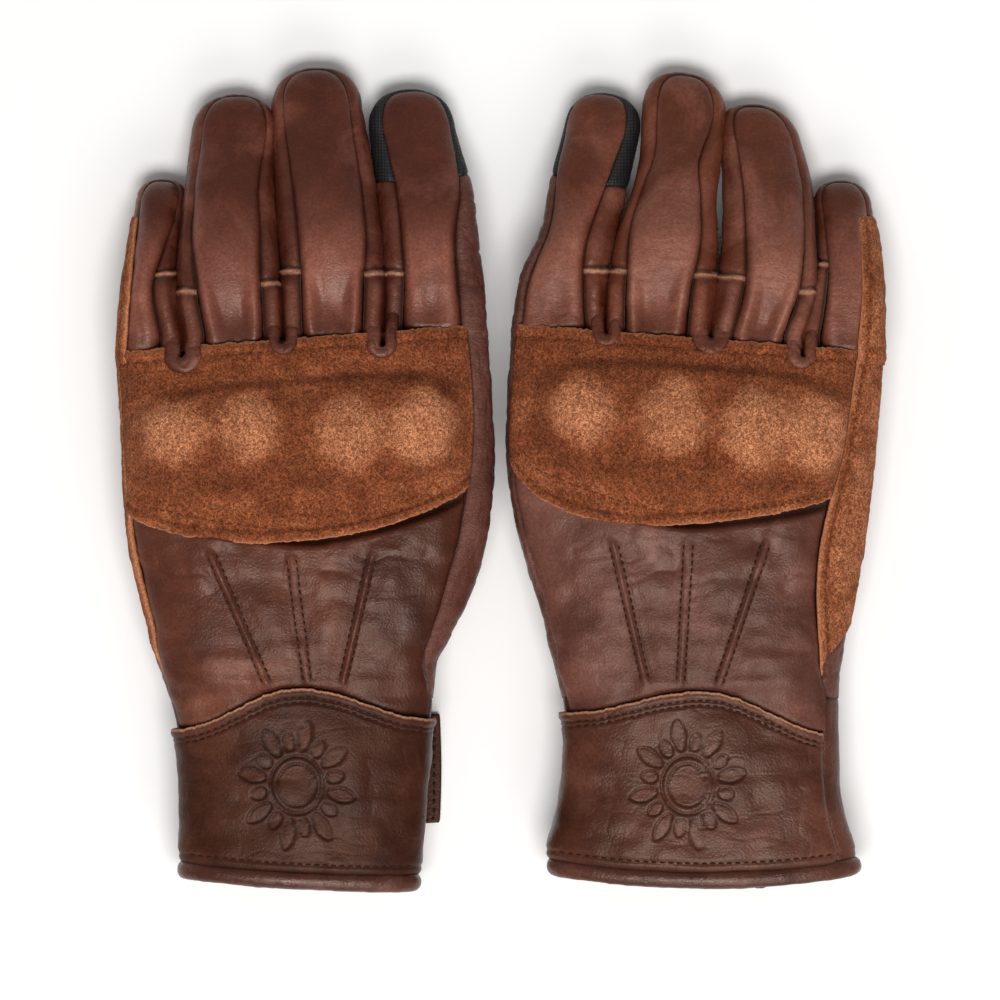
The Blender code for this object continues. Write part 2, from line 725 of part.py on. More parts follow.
def make_thumb(side, into):
    """The folded thumb lies flat under the palm: a round-ended tube in two halves, with a hole over
    its pivot that meets the hole in the palm."""
    root, tip = THUMB_PIVOT, THUMB_TIP
    across, ahead = tip[0] - root[0], tip[1] - root[1]
    length = math.hypot(across, ahead)
    lean = math.atan2(across, ahead)
    base, middle_width, tip_width = THUMB_HALF_WIDTHS
    middle, half = (THUMB_TOP + TABLE_GAP) / 2, (THUMB_TOP - TABLE_GAP) / 2

    def half_width(s):
        t = min(1.0, max(0.0, s / length))
        return lerp(base, middle_width, 2 * t) if t < 0.5 else lerp(middle_width, tip_width, 2 * t - 1)

    def shell(a, b, depth, sign):
        """a runs right round the outline, b from the seam at the widest line to the middle."""
        part, step = divmod(a * 4 * 0.999999, 1)
        if part == 0:
            s, turn = lerp(0, length, step), math.pi / 2
        elif part == 1:
            s, turn = length, lerp(math.pi / 2, -math.pi / 2, step)
        elif part == 2:
            s, turn = lerp(length, 0, step), -math.pi / 2
        else:
            s, turn = 0, lerp(-math.pi / 2, -3 * math.pi / 2, step)
        angle = lerp(math.asin((GAP / 2 / half) ** (FINGER_ROUNDNESS / 2)), math.pi / 2, b)
        away = power_cos(angle, FINGER_ROUNDNESS) * (half_width(s) - depth)
        x, s = away * math.sin(turn), s + away * math.cos(turn)
        z = middle + sign * (half - depth) * power_sin(angle, FINGER_ROUNDNESS)
        return (root[0] + s * math.sin(lean) + x * math.cos(lean),
                root[1] + s * math.cos(lean) - x * math.sin(lean), z)

    front = sheet(side + "_thumb_front", side, lambda a, b, d: shell(a, b, d, 1), 16, 3, "leather", into)
    sheet(side + "_thumb_back", side, lambda a, b, d: shell(a, b, d, -1), 16, 3, "leather", into)
    return front


def make_thumb_hole(side, cutters):
    x, y, z = to_world(side, *THUMB_PIVOT, THUMB_TOP)
    bpy.ops.mesh.primitive_cylinder_add(vertices=16, radius=THUMB_HOLE * MM, depth=12 * MM, location=(x, y, z))
    hole = bpy.context.object
    hole.name = side + "_thumb_hole"
    for user in list(hole.users_collection):
        user.objects.unlink(hole)
    cutters.objects.link(hole)
    return as_cutter(hole)


# --- the wrist strap ---------------------------------------------------------------------------------


def make_strap(side, into):
    sewn, free = STRAP[side]
    low, high = STRAP_V
    plate(side + "_wrist_strap", side, rounded_box((sewn, low), (free, high), 4), 0, STRAP_THICKNESS,
          "dark_leather", into)
    hook_low = STRAP_THICKNESS + GAP
    hook_free = min(free, 30) - 3
    plate(side + "_hook_pad", side, rounded_box((hook_free - 22, low + 4), (hook_free, high - 4), 2),
          hook_low, hook_low + PAD_THICKNESS, "hook_and_loop", into)
    loop_low = hook_low + PAD_THICKNESS + GAP
    plate(side + "_loop_pad", side, rounded_box((hook_free - 36, low + 3), (hook_free - 1, high - 3), 2),
          loop_low, loop_low + PAD_THICKNESS, "hook_and_loop", into)


def hang_on_joint(name, side, joint_at, pieces, into):
    """An empty on a joint's axis, with the pieces that turn about it as its children."""
    pivot = bpy.data.objects.new(name, None)
    pivot.empty_display_size = 10 * MM
    pivot.location = to_world(side, *joint_at)
    into.objects.link(pivot)
    for piece in pieces:
        obj = bpy.data.objects[f"{side}_{piece}"]
        obj.parent = pivot
        obj.location = obj.location - pivot.location


def make_joints(side, into):
    for name, (base_u, *_) in FINGERS[side].items():
        walls = ("back", "side", "front", "touch_tip") if name == "index" else ("back", "side", "front")
        hang_on_joint(f"{side}_{name}_flex", side, (base_u, knuckle_line(base_u), PALM_UNDERSIDE),
                      [f"{name}_{wall}" for wall in walls], into)
    hang_on_joint(side + "_thumb_swing", side, (*THUMB_PIVOT, THUMB_TOP), ("thumb_back", "thumb_front"), into)
    hang_on_joint(side + "_strap_open", side, (STRAP[side][0], sum(STRAP_V) / 2, 0),
                  ("wrist_strap", "hook_pad"), into)


def make_glove(side, into, cutters):
    back = make_back_panel(side, into)
    palm = make_palm_panel(side, into)
    cover = make_cover(side, into)
    make_side_strip(side, into)
    lining = make_lining(side, into)
    make_armour(side, into)
    make_cuff_back(side, into)
    make_cuff_palm(side, into)
    make_piping(side, into)
    make_gussets(side, into, cutters, [back, palm, cover])
    make_strap(side, into)
    thumb_front = make_thumb(side, into)
    hole = make_thumb_hole(side, cutters)
    for panel in (palm, lining, thumb_front):
        cut(panel, hole)
    make_index_finger(Finger(side, "index"), into)
    for name in ("middle", "ring", "little"):
        make_plain_finger(Finger(side, name), into)
    make_joints(side, into)


def main():
    clear_scene()
    parts = collection("riding_gloves")
    cutters = collection("cutters")
    for side in ("left", "right"):
        make_glove(side, parts, cutters)


main()
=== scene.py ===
"""Looks of the riding gloves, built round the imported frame.

Sizes are in millimetres in each glove's own frame: u runs across the hand towards the thumb, v from the
wrist to the fingertips, z up. to_world turns them into the frame's metres.
"""

import math

import bpy
import numpy as np
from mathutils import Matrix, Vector
from mathutils.bvhtree import BVHTree


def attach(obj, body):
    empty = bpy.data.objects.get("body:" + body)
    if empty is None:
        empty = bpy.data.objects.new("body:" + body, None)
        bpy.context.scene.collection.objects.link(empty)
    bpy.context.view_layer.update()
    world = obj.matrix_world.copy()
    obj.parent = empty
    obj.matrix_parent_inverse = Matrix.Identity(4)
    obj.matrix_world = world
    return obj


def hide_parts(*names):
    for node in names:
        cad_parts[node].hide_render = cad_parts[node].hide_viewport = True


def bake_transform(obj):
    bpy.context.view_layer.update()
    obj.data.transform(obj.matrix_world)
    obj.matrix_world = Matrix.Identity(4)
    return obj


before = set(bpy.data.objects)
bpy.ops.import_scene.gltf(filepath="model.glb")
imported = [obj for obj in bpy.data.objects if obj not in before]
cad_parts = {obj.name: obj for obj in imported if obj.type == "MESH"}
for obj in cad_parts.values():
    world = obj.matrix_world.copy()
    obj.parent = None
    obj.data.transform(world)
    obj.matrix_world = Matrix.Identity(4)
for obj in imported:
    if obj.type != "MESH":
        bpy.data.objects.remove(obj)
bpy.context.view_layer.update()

MM = 0.001
SIDES = ("left", "right")
GLOVE_CENTRE = 58.5
SKIN = 1.2  # thickness of a leather piece
PALM_Z = 11.5  # underside of the hand, and height of the finger hinges
KNUCKLE_V, KNUCKLE_SLOPE = 41.5, 0.075  # of the line where the fingers start
HAND_END = 46  # v at which the hand's tables end

# The hand's outline, as (v, edge on the little finger's side, edge on the thumb's side)
OUTLINE = {
    "left": [(-118, -36.6, 33.4), (-95, -35.9, 35.2), (-72, -38.8, 37.8), (-62, -41.8, 39.0), (-54, -44.6, 40.2),
             (-46, -46.0, 44.2), (-36, -48.5, 49.4), (-21, -51.9, 54.4), (-6, -53.4, 56.4), (10, -54.0, 56.8),
             (46, -56.4, 55.1)],
    "right": [(-118, -48.6, 42.4), (-111, -48.6, 43.0), (-104, -46.4, 40.6), (-95, -44.3, 39.0), (-84, -43.5, 38.0),
              (-70, -43.5, 38.8), (-62, -43.4, 40.6), (-54, -44.4, 42.6), (-42, -46.5, 45.3), (-15, -51.0, 53.4),
              (10, -53.7, 56.3), (46, -56.7, 55.0)],
}
# How far in from the edge the back panel's seams lie, as (v, little finger's side, thumb's side).
SEAM_INSET = {
    "left": [(-66, 0.9, 1), (-36, 1.2, 7.8), (-18, 1.1, 8.5), (20, 1.0, 6), (46, 1.0, 6.5)],
    "right": [(-66, 4, 1), (-25, 12.6, 1.5), (10, 9.6, 1.5), (46, 6.8, 2)],
}
CUFF_INSET = [(-118, 6.4), (-70, 4.9)]  # of the right cuff's seam on the little finger's side
# The hand's heights, as (v, height of the widest line, height of the top)
HEIGHTS = [(-118, 18, 31), (-68, 18.5, 33), (-42, 21, 34.5), (10, 22.5, 35.5), (46, 22.5, 33.5)]
TOP_POWER, BASE_POWER = 2.4, 5.0  # how square the section is above and below its widest line
HAND_FOOT = -66.0  # where the palm and the cuff's palm half meet
# The knuckle cover's lower edge: v at the little finger's side, in the middle and at the thumb's side
COVER_EDGE = {"left": (-10.5, -19.4, -2.6), "right": (-6.0, -14.4, 3.5)}
# The cuff's crest over the back of the hand: v in the middle, fall to the little finger's side, to the thumb's
CUFF_CREST = {"left": (-62.6, 12.3, 9.3), "right": (-63.5, 13.5, 6.6)}
HEM = {"left": (-120.0, -1.9, 0.9), "right": (-119.8, 0.0, 3.6)}  # v in the middle, slant, rise at the sides
CUFF_FOOT = 1.8  # how far the cuff's back half starts above the hem's line
STRIP_START, STRIP_WRAP = -59.5, 0.8  # where the suede strip starts, and how far it goes round under the hand
TUCK = 3.2  # how far the fingers' leather runs on under the knuckle cover
COVER_ROW, HEM_ROW, CUFF_ROWS, STRIP_ROW = 3.6, 3.0, (2.8, 4.2), 2.6  # stitch rows, from their edges
COVER_TOP_ROW = {"left": (-52, 47), "right": (-48, 52)}  # u from and to
FINE, MEDIUM = (2.3, 1.7), (2.6, 1.8)  # pitch and length of stitches

# Knuckle domes: (u, v, half width, half length, height)
DOMES = {
    "left": [(-38, 14, 10, 11, 2.9), (-15.5, 15, 10, 12, 2.7), (13.5, 13, 11, 13, 3.1), (35.5, 15.5, 9.5, 12.5, 3.5)],
    "right": [(33, 20.5, 10.5, 11.5, 2.9), (7, 18, 10.5, 13, 3.1), (-17, 14.5, 10, 13, 3.2), (-36, 13.5, 9, 13, 3.4)],
}
COVER_LIFT = 1.6  # of the knuckle cover over the hand
GUARD = {"left": (-47, 45, -4, 29), "right": (-44, 45, -3, 33)}  # u from, u to, v from, v to
DARTS = {  # from, to
    "left": [((-27.7, -22), (-10.9, -61)), ((-3.7, -23), (1.2, -61)), ((20.4, -23), (11.7, -61))],
    "right": [((24.5, -19), (14.9, -60.5)), ((2, -18.5), (4.4, -61)), ((-21.2, -19), (-7, -61.5))],
}
# The U of leather at a crotch: (outer edge towards the little finger, slot, slot, outer edge, v of its bottom)
CROTCHES = {
    "left": {"index_middle": (18.4, 23.1, 24.3, 28.4, 35.4), "middle_ring": (-11.0, -6.9, -5.5, -1.2, 36.8),
             "ring_little": (-42.2, -36.9, -35.6, -29.9, 31.0)},
    "right": {"index_middle": (21.8, 26.0, 27.0, 31.4, 39.4), "middle_ring": (-10.8, -5.2, -4.2, 1.5, 36.6),
              "ring_little": (-36.6, -32.6, -31.6, -27.0, 32.4)},
}

# name: base u, tip (u, v), rows of (v, edge, seam, seam, edge) from the little finger's side to the thumb's
FINGERS = {
    "left": {
        "index": (39.2, (33.0, 117.8), [
            (43, 24.6, 28.5, 47.5, 54.8), (57, 24.6, 29.2, 46.7, 54.0), (72, 23.3, 28.3, 46.0, 52.1),
            (88, 21.5, 26.9, 47.3, 50.0), (104, 19.3, 23.6, 44.2, 45.5), (118, 18.2, 20, 40, 42.8)]),
        "middle": (8.9, (3.3, 124.2), [
            (43, -5.4, -1.0, 18.2, 23.2), (57, -6.0, -1.6, 18.8, 23.8), (72, -7.6, -2.7, 19.7, 23.2),
            (88, -8.6, -4.1, 17.6, 21.2), (108, -9.7, -6.3, 14.0, 17.5), (124, -10.6, -7, 12, 15.2)]),
        "ring": (-21, (-20.8, 116.2), [
            (43, -35.6, -30.2, -11.3, -7.0), (57, -37.9, -32.9, -12.0, -6.9), (72, -37.5, -34.9, -12.2, -8.0),
            (88, -35.8, -33.4, -13.4, -8.9), (103, -34.2, -31.2, -11.6, -9.1), (116, -32.8, -30, -11, -8.8)]),
        "little": (-46.3, (-42.8, 90.4), [
            (43, -55.6, -54.0, -42.5, -36.8), (57, -54.6, -53.2, -45.0, -38.4), (70, -52.8, -51.6, -41.5, -37.9),
            (80, -51.4, -50.0, -38.4, -36.2), (90, -50.0, -49, -37, -34.9)]),
    },
    "right": {
        "index": (40.6, (26.8, 116.6), [
            (44, 27.2, 31.4, 53.4, 55.2), (58, 26.6, 32.6, 50.9, 52.6), (72, 24.0, 31.7, 45.2, 46.7),
            (88, 19.9, 26.5, 42.5, 43.6), (104, 16.2, 20.8, 38.8, 39.4), (116, 13.8, 18, 36.4, 36.8)]),
        "middle": (11.2, (2.4, 122.4), [
            (44, -4.0, 1.8, 21.8, 25.9), (58, -6.2, 0.3, 21.6, 25.5), (72, -7.2, -2.9, 20.6, 23.2),
            (85, -6.8, -3.0, 17.2, 18.7), (96, -8.1, -1.8, 12.6, 16.3), (109, -9.6, -6.0, 11.2, 15.4),
            (122, -10.2, -7, 11, 15.2)]),
        "ring": (-18.5, (-19.6, 113.0), [
            (43, -31.7, -27.3, -10.8, -5.2), (57, -36.2, -32.3, -14.2, -7.0), (72, -36.4, -34.1, -14.7, -8.7),
            (88, -35.4, -33.0, -14.4, -8.8), (101, -32.3, -29.8, -12.7, -8.5), (113, -28.8, -27, -9, -6.4)]),
        "little": (-44.9, (-42.8, 90.1), [
            (43, -56.6, -55.4, -36.9, -32.6), (57, -56.6, -55.4, -38.6, -36.8), (70, -55.6, -54.4, -39.2, -37.2),
            (79, -54.0, -52.6, -38.8, -36.6), (90, -52.6, -51, -37, -35.2)]),
    },
}
CROSS_SEAM_V = {  # of the seams across the side walls: little finger's side, thumb's side
    "left": {"index": (61.5, None), "middle": (62.0, 61.5), "ring": (56.0, 58.4), "little": (None, 61.5)},
    "right": {"index": (62.2, None), "middle": (61.0, 62.2), "ring": (55.8, 60.2), "little": (None, 64.5)},
}
TIP_POWER, FOOT_POWER = 2.15, 3.0  # how square a finger's section is at its tip and at its foot
TIP_DROP = 3.0  # how far the top of a fingertip falls on towards its end
SEAM_PLAN = 2.7  # how square the round end of the back strip is
TIP_PLAN = 2.25  # how square a fingertip is in plan
PALM_SEAM, TIP_SEAM = 0.72, 0.988  # where the lower seams and the back strip's end lie, as shares of the half
TIP_HALF_HEIGHT, TIP_BASE_Z = 8.2, 0.3
TOUCH_LENGTH = 27.5
BLEND = (-0.5, 17)  # two s along the finger, which dress makes into points but does not use
SUEDE_TOP_V = 78.5  # upper end of the suede strip on the little finger
SUEDE_INNER = {  # and its inner edge there, as (v, u)
    "left": [(40, -53.4), (79, -50.6)],
    "right": [(40, -48.8), (57, -50.2), (70, -49.6), (79, -49.2)],
}

THUMB_PIVOT, THUMB_TIP = (36, -30), (6, 26)
THUMB_WIDTHS = (12.6, 12.4, 11.2)  # half widths at the root, the middle and the tip
THUMB_Z = (0.3, 10.9)
STRAP = {"left": (-14, 41), "right": (-20, 34)}  # u of its sewn end and its free end
STRAP_V = (-105.5, -69.5)
HOOK_EDGE = 30  # u past which no hook pad reaches
STRAP_ROW = 2.2


# --- numbers ----------------------------------------------------------------------------------------


def lerp(a, b, t):
    return a + (b - a) * t


def smooth(t):
    t = np.clip(t, 0, 1)
    return t * t * (3 - 2 * t)


def along(stations, v, column):
    """A value that runs smoothly through stations, a list of tuples that start with v."""
    x = np.array([row[0] for row in stations], float)
    y = np.array([row[column] for row in stations], float)
    slope = np.empty_like(y)
    slope[1:-1] = (y[2:] - y[:-2]) / (x[2:] - x[:-2])
    slope[0], slope[-1] = (y[1] - y[0]) / (x[1] - x[0]), (y[-1] - y[-2]) / (x[-1] - x[-2])
    v = np.clip(np.asarray(v, float), x[0], x[-1])
    i = np.clip(np.searchsorted(x, v, "right") - 1, 0, len(x) - 2)
    step = x[i + 1] - x[i]
    t = (v - x[i]) / step
    return ((2 * t**3 - 3 * t**2 + 1) * y[i] + (t**3 - 2 * t**2 + t) * step * slope[i]
            + (3 * t**2 - 2 * t**3) * y[i + 1] + (t**3 - t**2) * step * slope[i + 1])


def rounded(share, power):
    return np.maximum(0, 1 - np.minimum(1, np.abs(share)) ** power) ** (1 / power)


def power_cos(angle, power):
    c = np.cos(angle)
    return np.sign(c) * np.abs(c) ** (2 / power)


def power_sin(angle, power):
    s = np.sin(angle)
    return np.sign(s) * np.abs(s) ** (2 / power)


def angle_at(share, power):
    return np.arccos(np.clip(np.sign(share) * np.abs(share) ** (power / 2), -1, 1))


PALM_ANGLE = float(angle_at(PALM_SEAM, TIP_POWER))


def bell(distance, width):
    return np.exp(-((distance / width) ** 2))


def lattice(i, seed):
    n = (i[..., 0] * 73856093) ^ (i[..., 1] * 19349663) ^ (i[..., 2] * 83492791) ^ (seed * 668265263)
    n = ((n ^ (n >> 13)) * 1274126177) & 0x7FFFFFFF
    return ((n ^ (n >> 16)) & 0xFFFF) / 32767.5 - 1


def noise(points, cell, seed=0):
    """Smooth noise from -1 to 1. cell is its size in mm, one number or one for each axis."""
    q = points / np.asarray(cell, float) + 31.7 + seed * 7.13
    i = np.floor(q).astype(np.int64)
    f = q - i
    f = f * f * f * (f * (f * 6 - 15) + 10)
    total = 0
    for dx in (0, 1):
        for dy in (0, 1):
            for dz in (0, 1):
                weight = ((f[..., 0] if dx else 1 - f[..., 0]) * (f[..., 1] if dy else 1 - f[..., 1])
                          * (f[..., 2] if dz else 1 - f[..., 2]))
                total = total + weight * lattice(i + np.array([dx, dy, dz]), seed)
    return total


def creases(points, cell, seed, sharp=5):
    """Narrow valleys that wander: 0 between them, 1 along their middle."""
    bent = points + 2.5 * np.stack([noise(points, 9, seed + 5), noise(points, 9, seed + 6),
                                    noise(points, 9, seed + 7)], axis=-1)
    return np.maximum(0, 1 - 2.2 * np.abs(noise(bent, cell, seed))) ** sharp


# --- shape of the hand ------------------------------------------------------------------------------


def knuckle_line(u):
    return KNUCKLE_V + KNUCKLE_SLOPE * u


def to_world(side, points):
    """Glove frame in mm to the frame's metres."""
    sign = -1 if side == "left" else 1
    out = np.array(points, float)
    out[..., 0] = sign * (GLOVE_CENTRE - out[..., 0])
    return out * MM


def hand_section(side, v):
    little, thumb = along(OUTLINE[side], v, 1), along(OUTLINE[side], v, 2)
    widest, top = along(HEIGHTS, v, 1), along(HEIGHTS, v, 2)
    base = lerp(4.5, PALM_Z, smooth((v + 66) / 20))
    return (little + thumb) / 2, (thumb - little) / 2, widest, top - widest, widest - base


def hand_point(side, v, angle, out=0.0):
    v, angle = np.broadcast_arrays(np.asarray(v, float), angle)
    centre, half, widest, above, below = hand_section(side, v)
    up = np.sin(angle) >= 0
    power = np.where(up, TOP_POWER, BASE_POWER)
    height = np.where(up, above, below)
    return np.stack([centre + (half + out) * power_cos(angle, power), v,
                     widest + (height + out) * power_sin(angle, power)], axis=-1)


def hand_top(side, u, v):
    centre, half, widest, above, _ = hand_section(side, v)
    return widest + above * rounded((u - centre) / half, TOP_POWER)


def seam_angles(side, v):
    """Angles round the hand of the back panel's seams: (thumb's side, little finger's side)."""
    _, half, _, _, _ = hand_section(side, v)
    return (angle_at(1 - along(SEAM_INSET[side], v, 2) / half, TOP_POWER),
            math.pi - angle_at(1 - along(SEAM_INSET[side], v, 1) / half, TOP_POWER))


def strip_lower_angle(side, v):
    _, half, _, _, _ = hand_section(side, v)
    upper = seam_angles(side, v)[1]
    lower = math.pi + angle_at(STRIP_WRAP, BASE_POWER)
    opened = lerp(upper, lower, smooth((v - STRIP_START) / 34))
    return np.maximum(opened, upper + 2.2 * smooth((v + 60.5) / 3) / half)


def crest_line(side, share):
    """v of the cuff's upper edge at a share of the half width. hem_line and cover_edge are alike."""
    crest, little_drop, thumb_drop = CUFF_CREST[side]
    return crest - np.where(share > 0, thumb_drop, little_drop) * (1 - np.cos(math.pi * share)) / 2


def hem_line(side, share):
    middle, slant, rise = HEM[side]
    return middle + slant * share + rise * share * share


def cover_edge(side, share):
    little, middle, thumb = COVER_EDGE[side]
    return middle + np.where(share > 0, thumb - middle, little - middle) * np.abs(share) ** 1.6


def settle(side, v, rounds, angle, line):
    """Finds v where v and the angle round the hand depend on each other: (v, angle, last u)."""
    for _ in range(rounds):
        turn = angle(v)
        u = hand_point(side, v, turn)[..., 0]
        v = line(u, turn)
    return v, angle(v), u


def hand_core(side):
    """Points a little below the widest line, in the middle of the hand: see core in skin."""
    def core(p):
        centre, _, widest, _, _ = hand_section(side, p[..., 1])
        return np.stack([centre, p[..., 1], widest - 4], axis=-1)
    return core


# --- meshes -----------------------------------------------------------------------------------------


def normals_of(p):
    """Normals of a grid. Each takes in its neighbours', so that they stay sound where a corner pinches."""
    n = np.cross(np.gradient(p, axis=0), np.gradient(p, axis=1))
    for axis in (0, 1):
        padded = np.concatenate([np.take(n, [0], axis), n, np.take(n, [-1], axis)], axis)
        count = n.shape[axis]
        n = (np.take(padded, range(count), axis) + 2 * n + np.take(padded, range(2, count + 2), axis)) / 4
    return n / np.maximum(np.linalg.norm(n, axis=-1, keepdims=True), 1e-12)


def walk(p, axis):
    """Distance in mm along the grid from its first edge and to its last."""
    step = np.linalg.norm(np.diff(p, axis=axis), axis=-1)
    start = np.zeros_like(np.take(step, [0], axis))
    run = np.concatenate([start, np.cumsum(step, axis)], axis)
    return run, np.take(run, [-1], axis) - run


def make_object(name, points, faces, attributes, material):
    mesh = bpy.data.meshes.new(name)
    mesh.vertices.add(len(points))
    mesh.vertices.foreach_set("co", np.asarray(points, np.float32).ravel())
    mesh.loops.add(faces.size)
    mesh.loops.foreach_set("vertex_index", faces.ravel().astype(np.int32))
    mesh.polygons.add(len(faces))
    mesh.polygons.foreach_set("loop_start", np.arange(0, faces.size, 4, dtype=np.int32))
    mesh.polygons.foreach_set("loop_total", np.full(len(faces), 4, np.int32))
    mesh.update(calc_edges=True)
    mesh.validate()
    mesh.polygons.foreach_set("use_smooth", np.ones(len(mesh.polygons), bool))
    for key, values in attributes.items():
        kind = "FLOAT_VECTOR" if np.ndim(values) == 2 else "FLOAT"
        layer = mesh.attributes.new(key, kind, "POINT")
        layer.data.foreach_set("vector" if kind == "FLOAT_VECTOR" else "value",
                               np.asarray(values, np.float32).ravel())
    obj = bpy.data.objects.new(name, mesh)
    bpy.context.scene.collection.objects.link(obj)
    mesh.materials.append(material)
    return obj


def quads(rows, columns, wrap_rows=False):
    i, j = np.meshgrid(np.arange(rows if wrap_rows else rows - 1), np.arange(columns - 1), indexing="ij")
    k = (i + 1) % rows
    here, on = i * columns + j, k * columns + j
    return np.stack([here, on, on + 1, here + 1], -1).reshape(-1, 4)


def face_outward(points, faces, outward):
    """Turns all faces round if the first of them look inward. outward has a direction for each of those."""
    corner = points[faces[:len(outward)]]
    facing = np.cross(corner[:, 1] - corner[:, 0], corner[:, 3] - corner[:, 0])
    return faces[:, ::-1] if (facing * outward).sum() < 0 else faces


def skin(name, side, base, across, lengthwise, relief, material, slot, core, thickness=SKIN, ring=False):
    """A skin with an inside and an outside. base(a, b) gives its points in the glove's frame, for a across and b
    lengthwise, both from 0 to 1. relief(p, d) gives how far they rise in mm and the attributes that the material
    reads. d has their distances in mm from the edges a0, a1, b0 and b1, and a and b are the nearer of a pair.
    core(p) gives a point inside the glove for each, which says what is outward."""
    count = across if ring else across + 1
    a, b = np.meshgrid(np.arange(count) / across, np.linspace(0, 1, lengthwise + 1), indexing="ij")
    p = base(a, b)
    da0, da1 = walk(p, 0)
    db0, db1 = walk(p, 1)
    n = normals_of(np.concatenate([p[-1:], p, p[:1]]))[1:-1] if ring else normals_of(p)
    if ((p - core(p)) * n).sum() < 0:
        n = -n
    rise, marks = relief(p, {"a0": da0, "a1": da1, "b0": db0, "b1": db1, "a": np.minimum(da0, da1),
                             "b": np.minimum(db0, db1)})
    outer = p + n * np.asarray(rise)[..., None]
    inner = outer - n * thickness
    points = to_world(side, np.concatenate([outer.reshape(-1, 3), inner.reshape(-1, 3)]))
    rows, columns = p.shape[:2]
    total = rows * columns
    index = np.arange(total).reshape(rows, columns)
    edges = [index[:, 0], index[::-1, -1]]
    if ring:
        edges = [np.append(edge, edge[0]) for edge in edges]
    else:
        edges += [index[0, ::-1], index[-1, :]]
    top = quads(rows, columns, ring)
    walls = [np.stack([edge[:-1] + total, edge[1:] + total, edge[1:], edge[:-1]], -1) for edge in edges]
    outward = (to_world(side, outer + n) - to_world(side, outer)).reshape(-1, 3)
    faces = face_outward(points, np.concatenate([top, top[:, ::-1] + total, *walls]), outward[top[:, 0]])
    marks = {"groove": 0.0, "tone": 0.0, "raw": 0.0, "fold": 0.0, **marks}
    attributes = {key: np.concatenate([np.broadcast_to(value, (rows, columns)).ravel()] * 2)
                  for key, value in marks.items()}
    attributes["raw"][total:] = 1.0
    attributes["rest"] = points.copy()
    return make_object(name, points, faces, attributes, material)


def hand_skin(side, name, node, base, counts, relief, material, slot, thickness=SKIN, ring=False, core=None):
    """A skin that stands for a CAD piece of the hand and rides on the hand."""
    obj = skin(f"{side}_{name}", side, base, *counts, relief, material, slot, core or hand_core(side), thickness, ring)
    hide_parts(f"{side}_{node}")
    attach(obj, side + "_hand")
    return obj


def seam_dip(distance, depth=1.0, width=0.8):
    """A sewn seam: the skin turns down into it."""
    return -depth * np.exp(-((distance / width) ** 1.3))


def pillow(distance, height=0.8, reach=3.2):
    """The padded swell between two seams."""
    return height * (1 - np.exp(-distance / reach))


def seam_shade(distance, width=0.32):
    """How dark the groove of a seam is."""
    return np.exp(-((distance / width) ** 1.5))


def stitch_groove(distance, depth, width):
    """The groove that a row of stitches pulls into the skin."""
    return -depth * bell(distance, width)


def to_segment(p, start, end):
    """(distance in mm in plan, share along) to the line from start to end."""
    line = np.subtract(end, start)
    t = ((p[..., 0] - start[0]) * line[0] + (p[..., 1] - start[1]) * line[1]) / (line @ line)
    return np.hypot(p[..., 0] - start[0] - t * line[0], p[..., 1] - start[1] - t * line[1]), t


def leather_relief(p, seed, dents=0.3, crease=0.25, cell=(7, 3, 5)):
    """Soft dents and fine creases of worn leather."""
    return (dents * noise(p, 13, seed) + 0.4 * dents * noise(p, 5.5, seed + 1)
            - crease * creases(p, cell, seed + 2))


# --- materials --------------------------------------------------------------------------------------


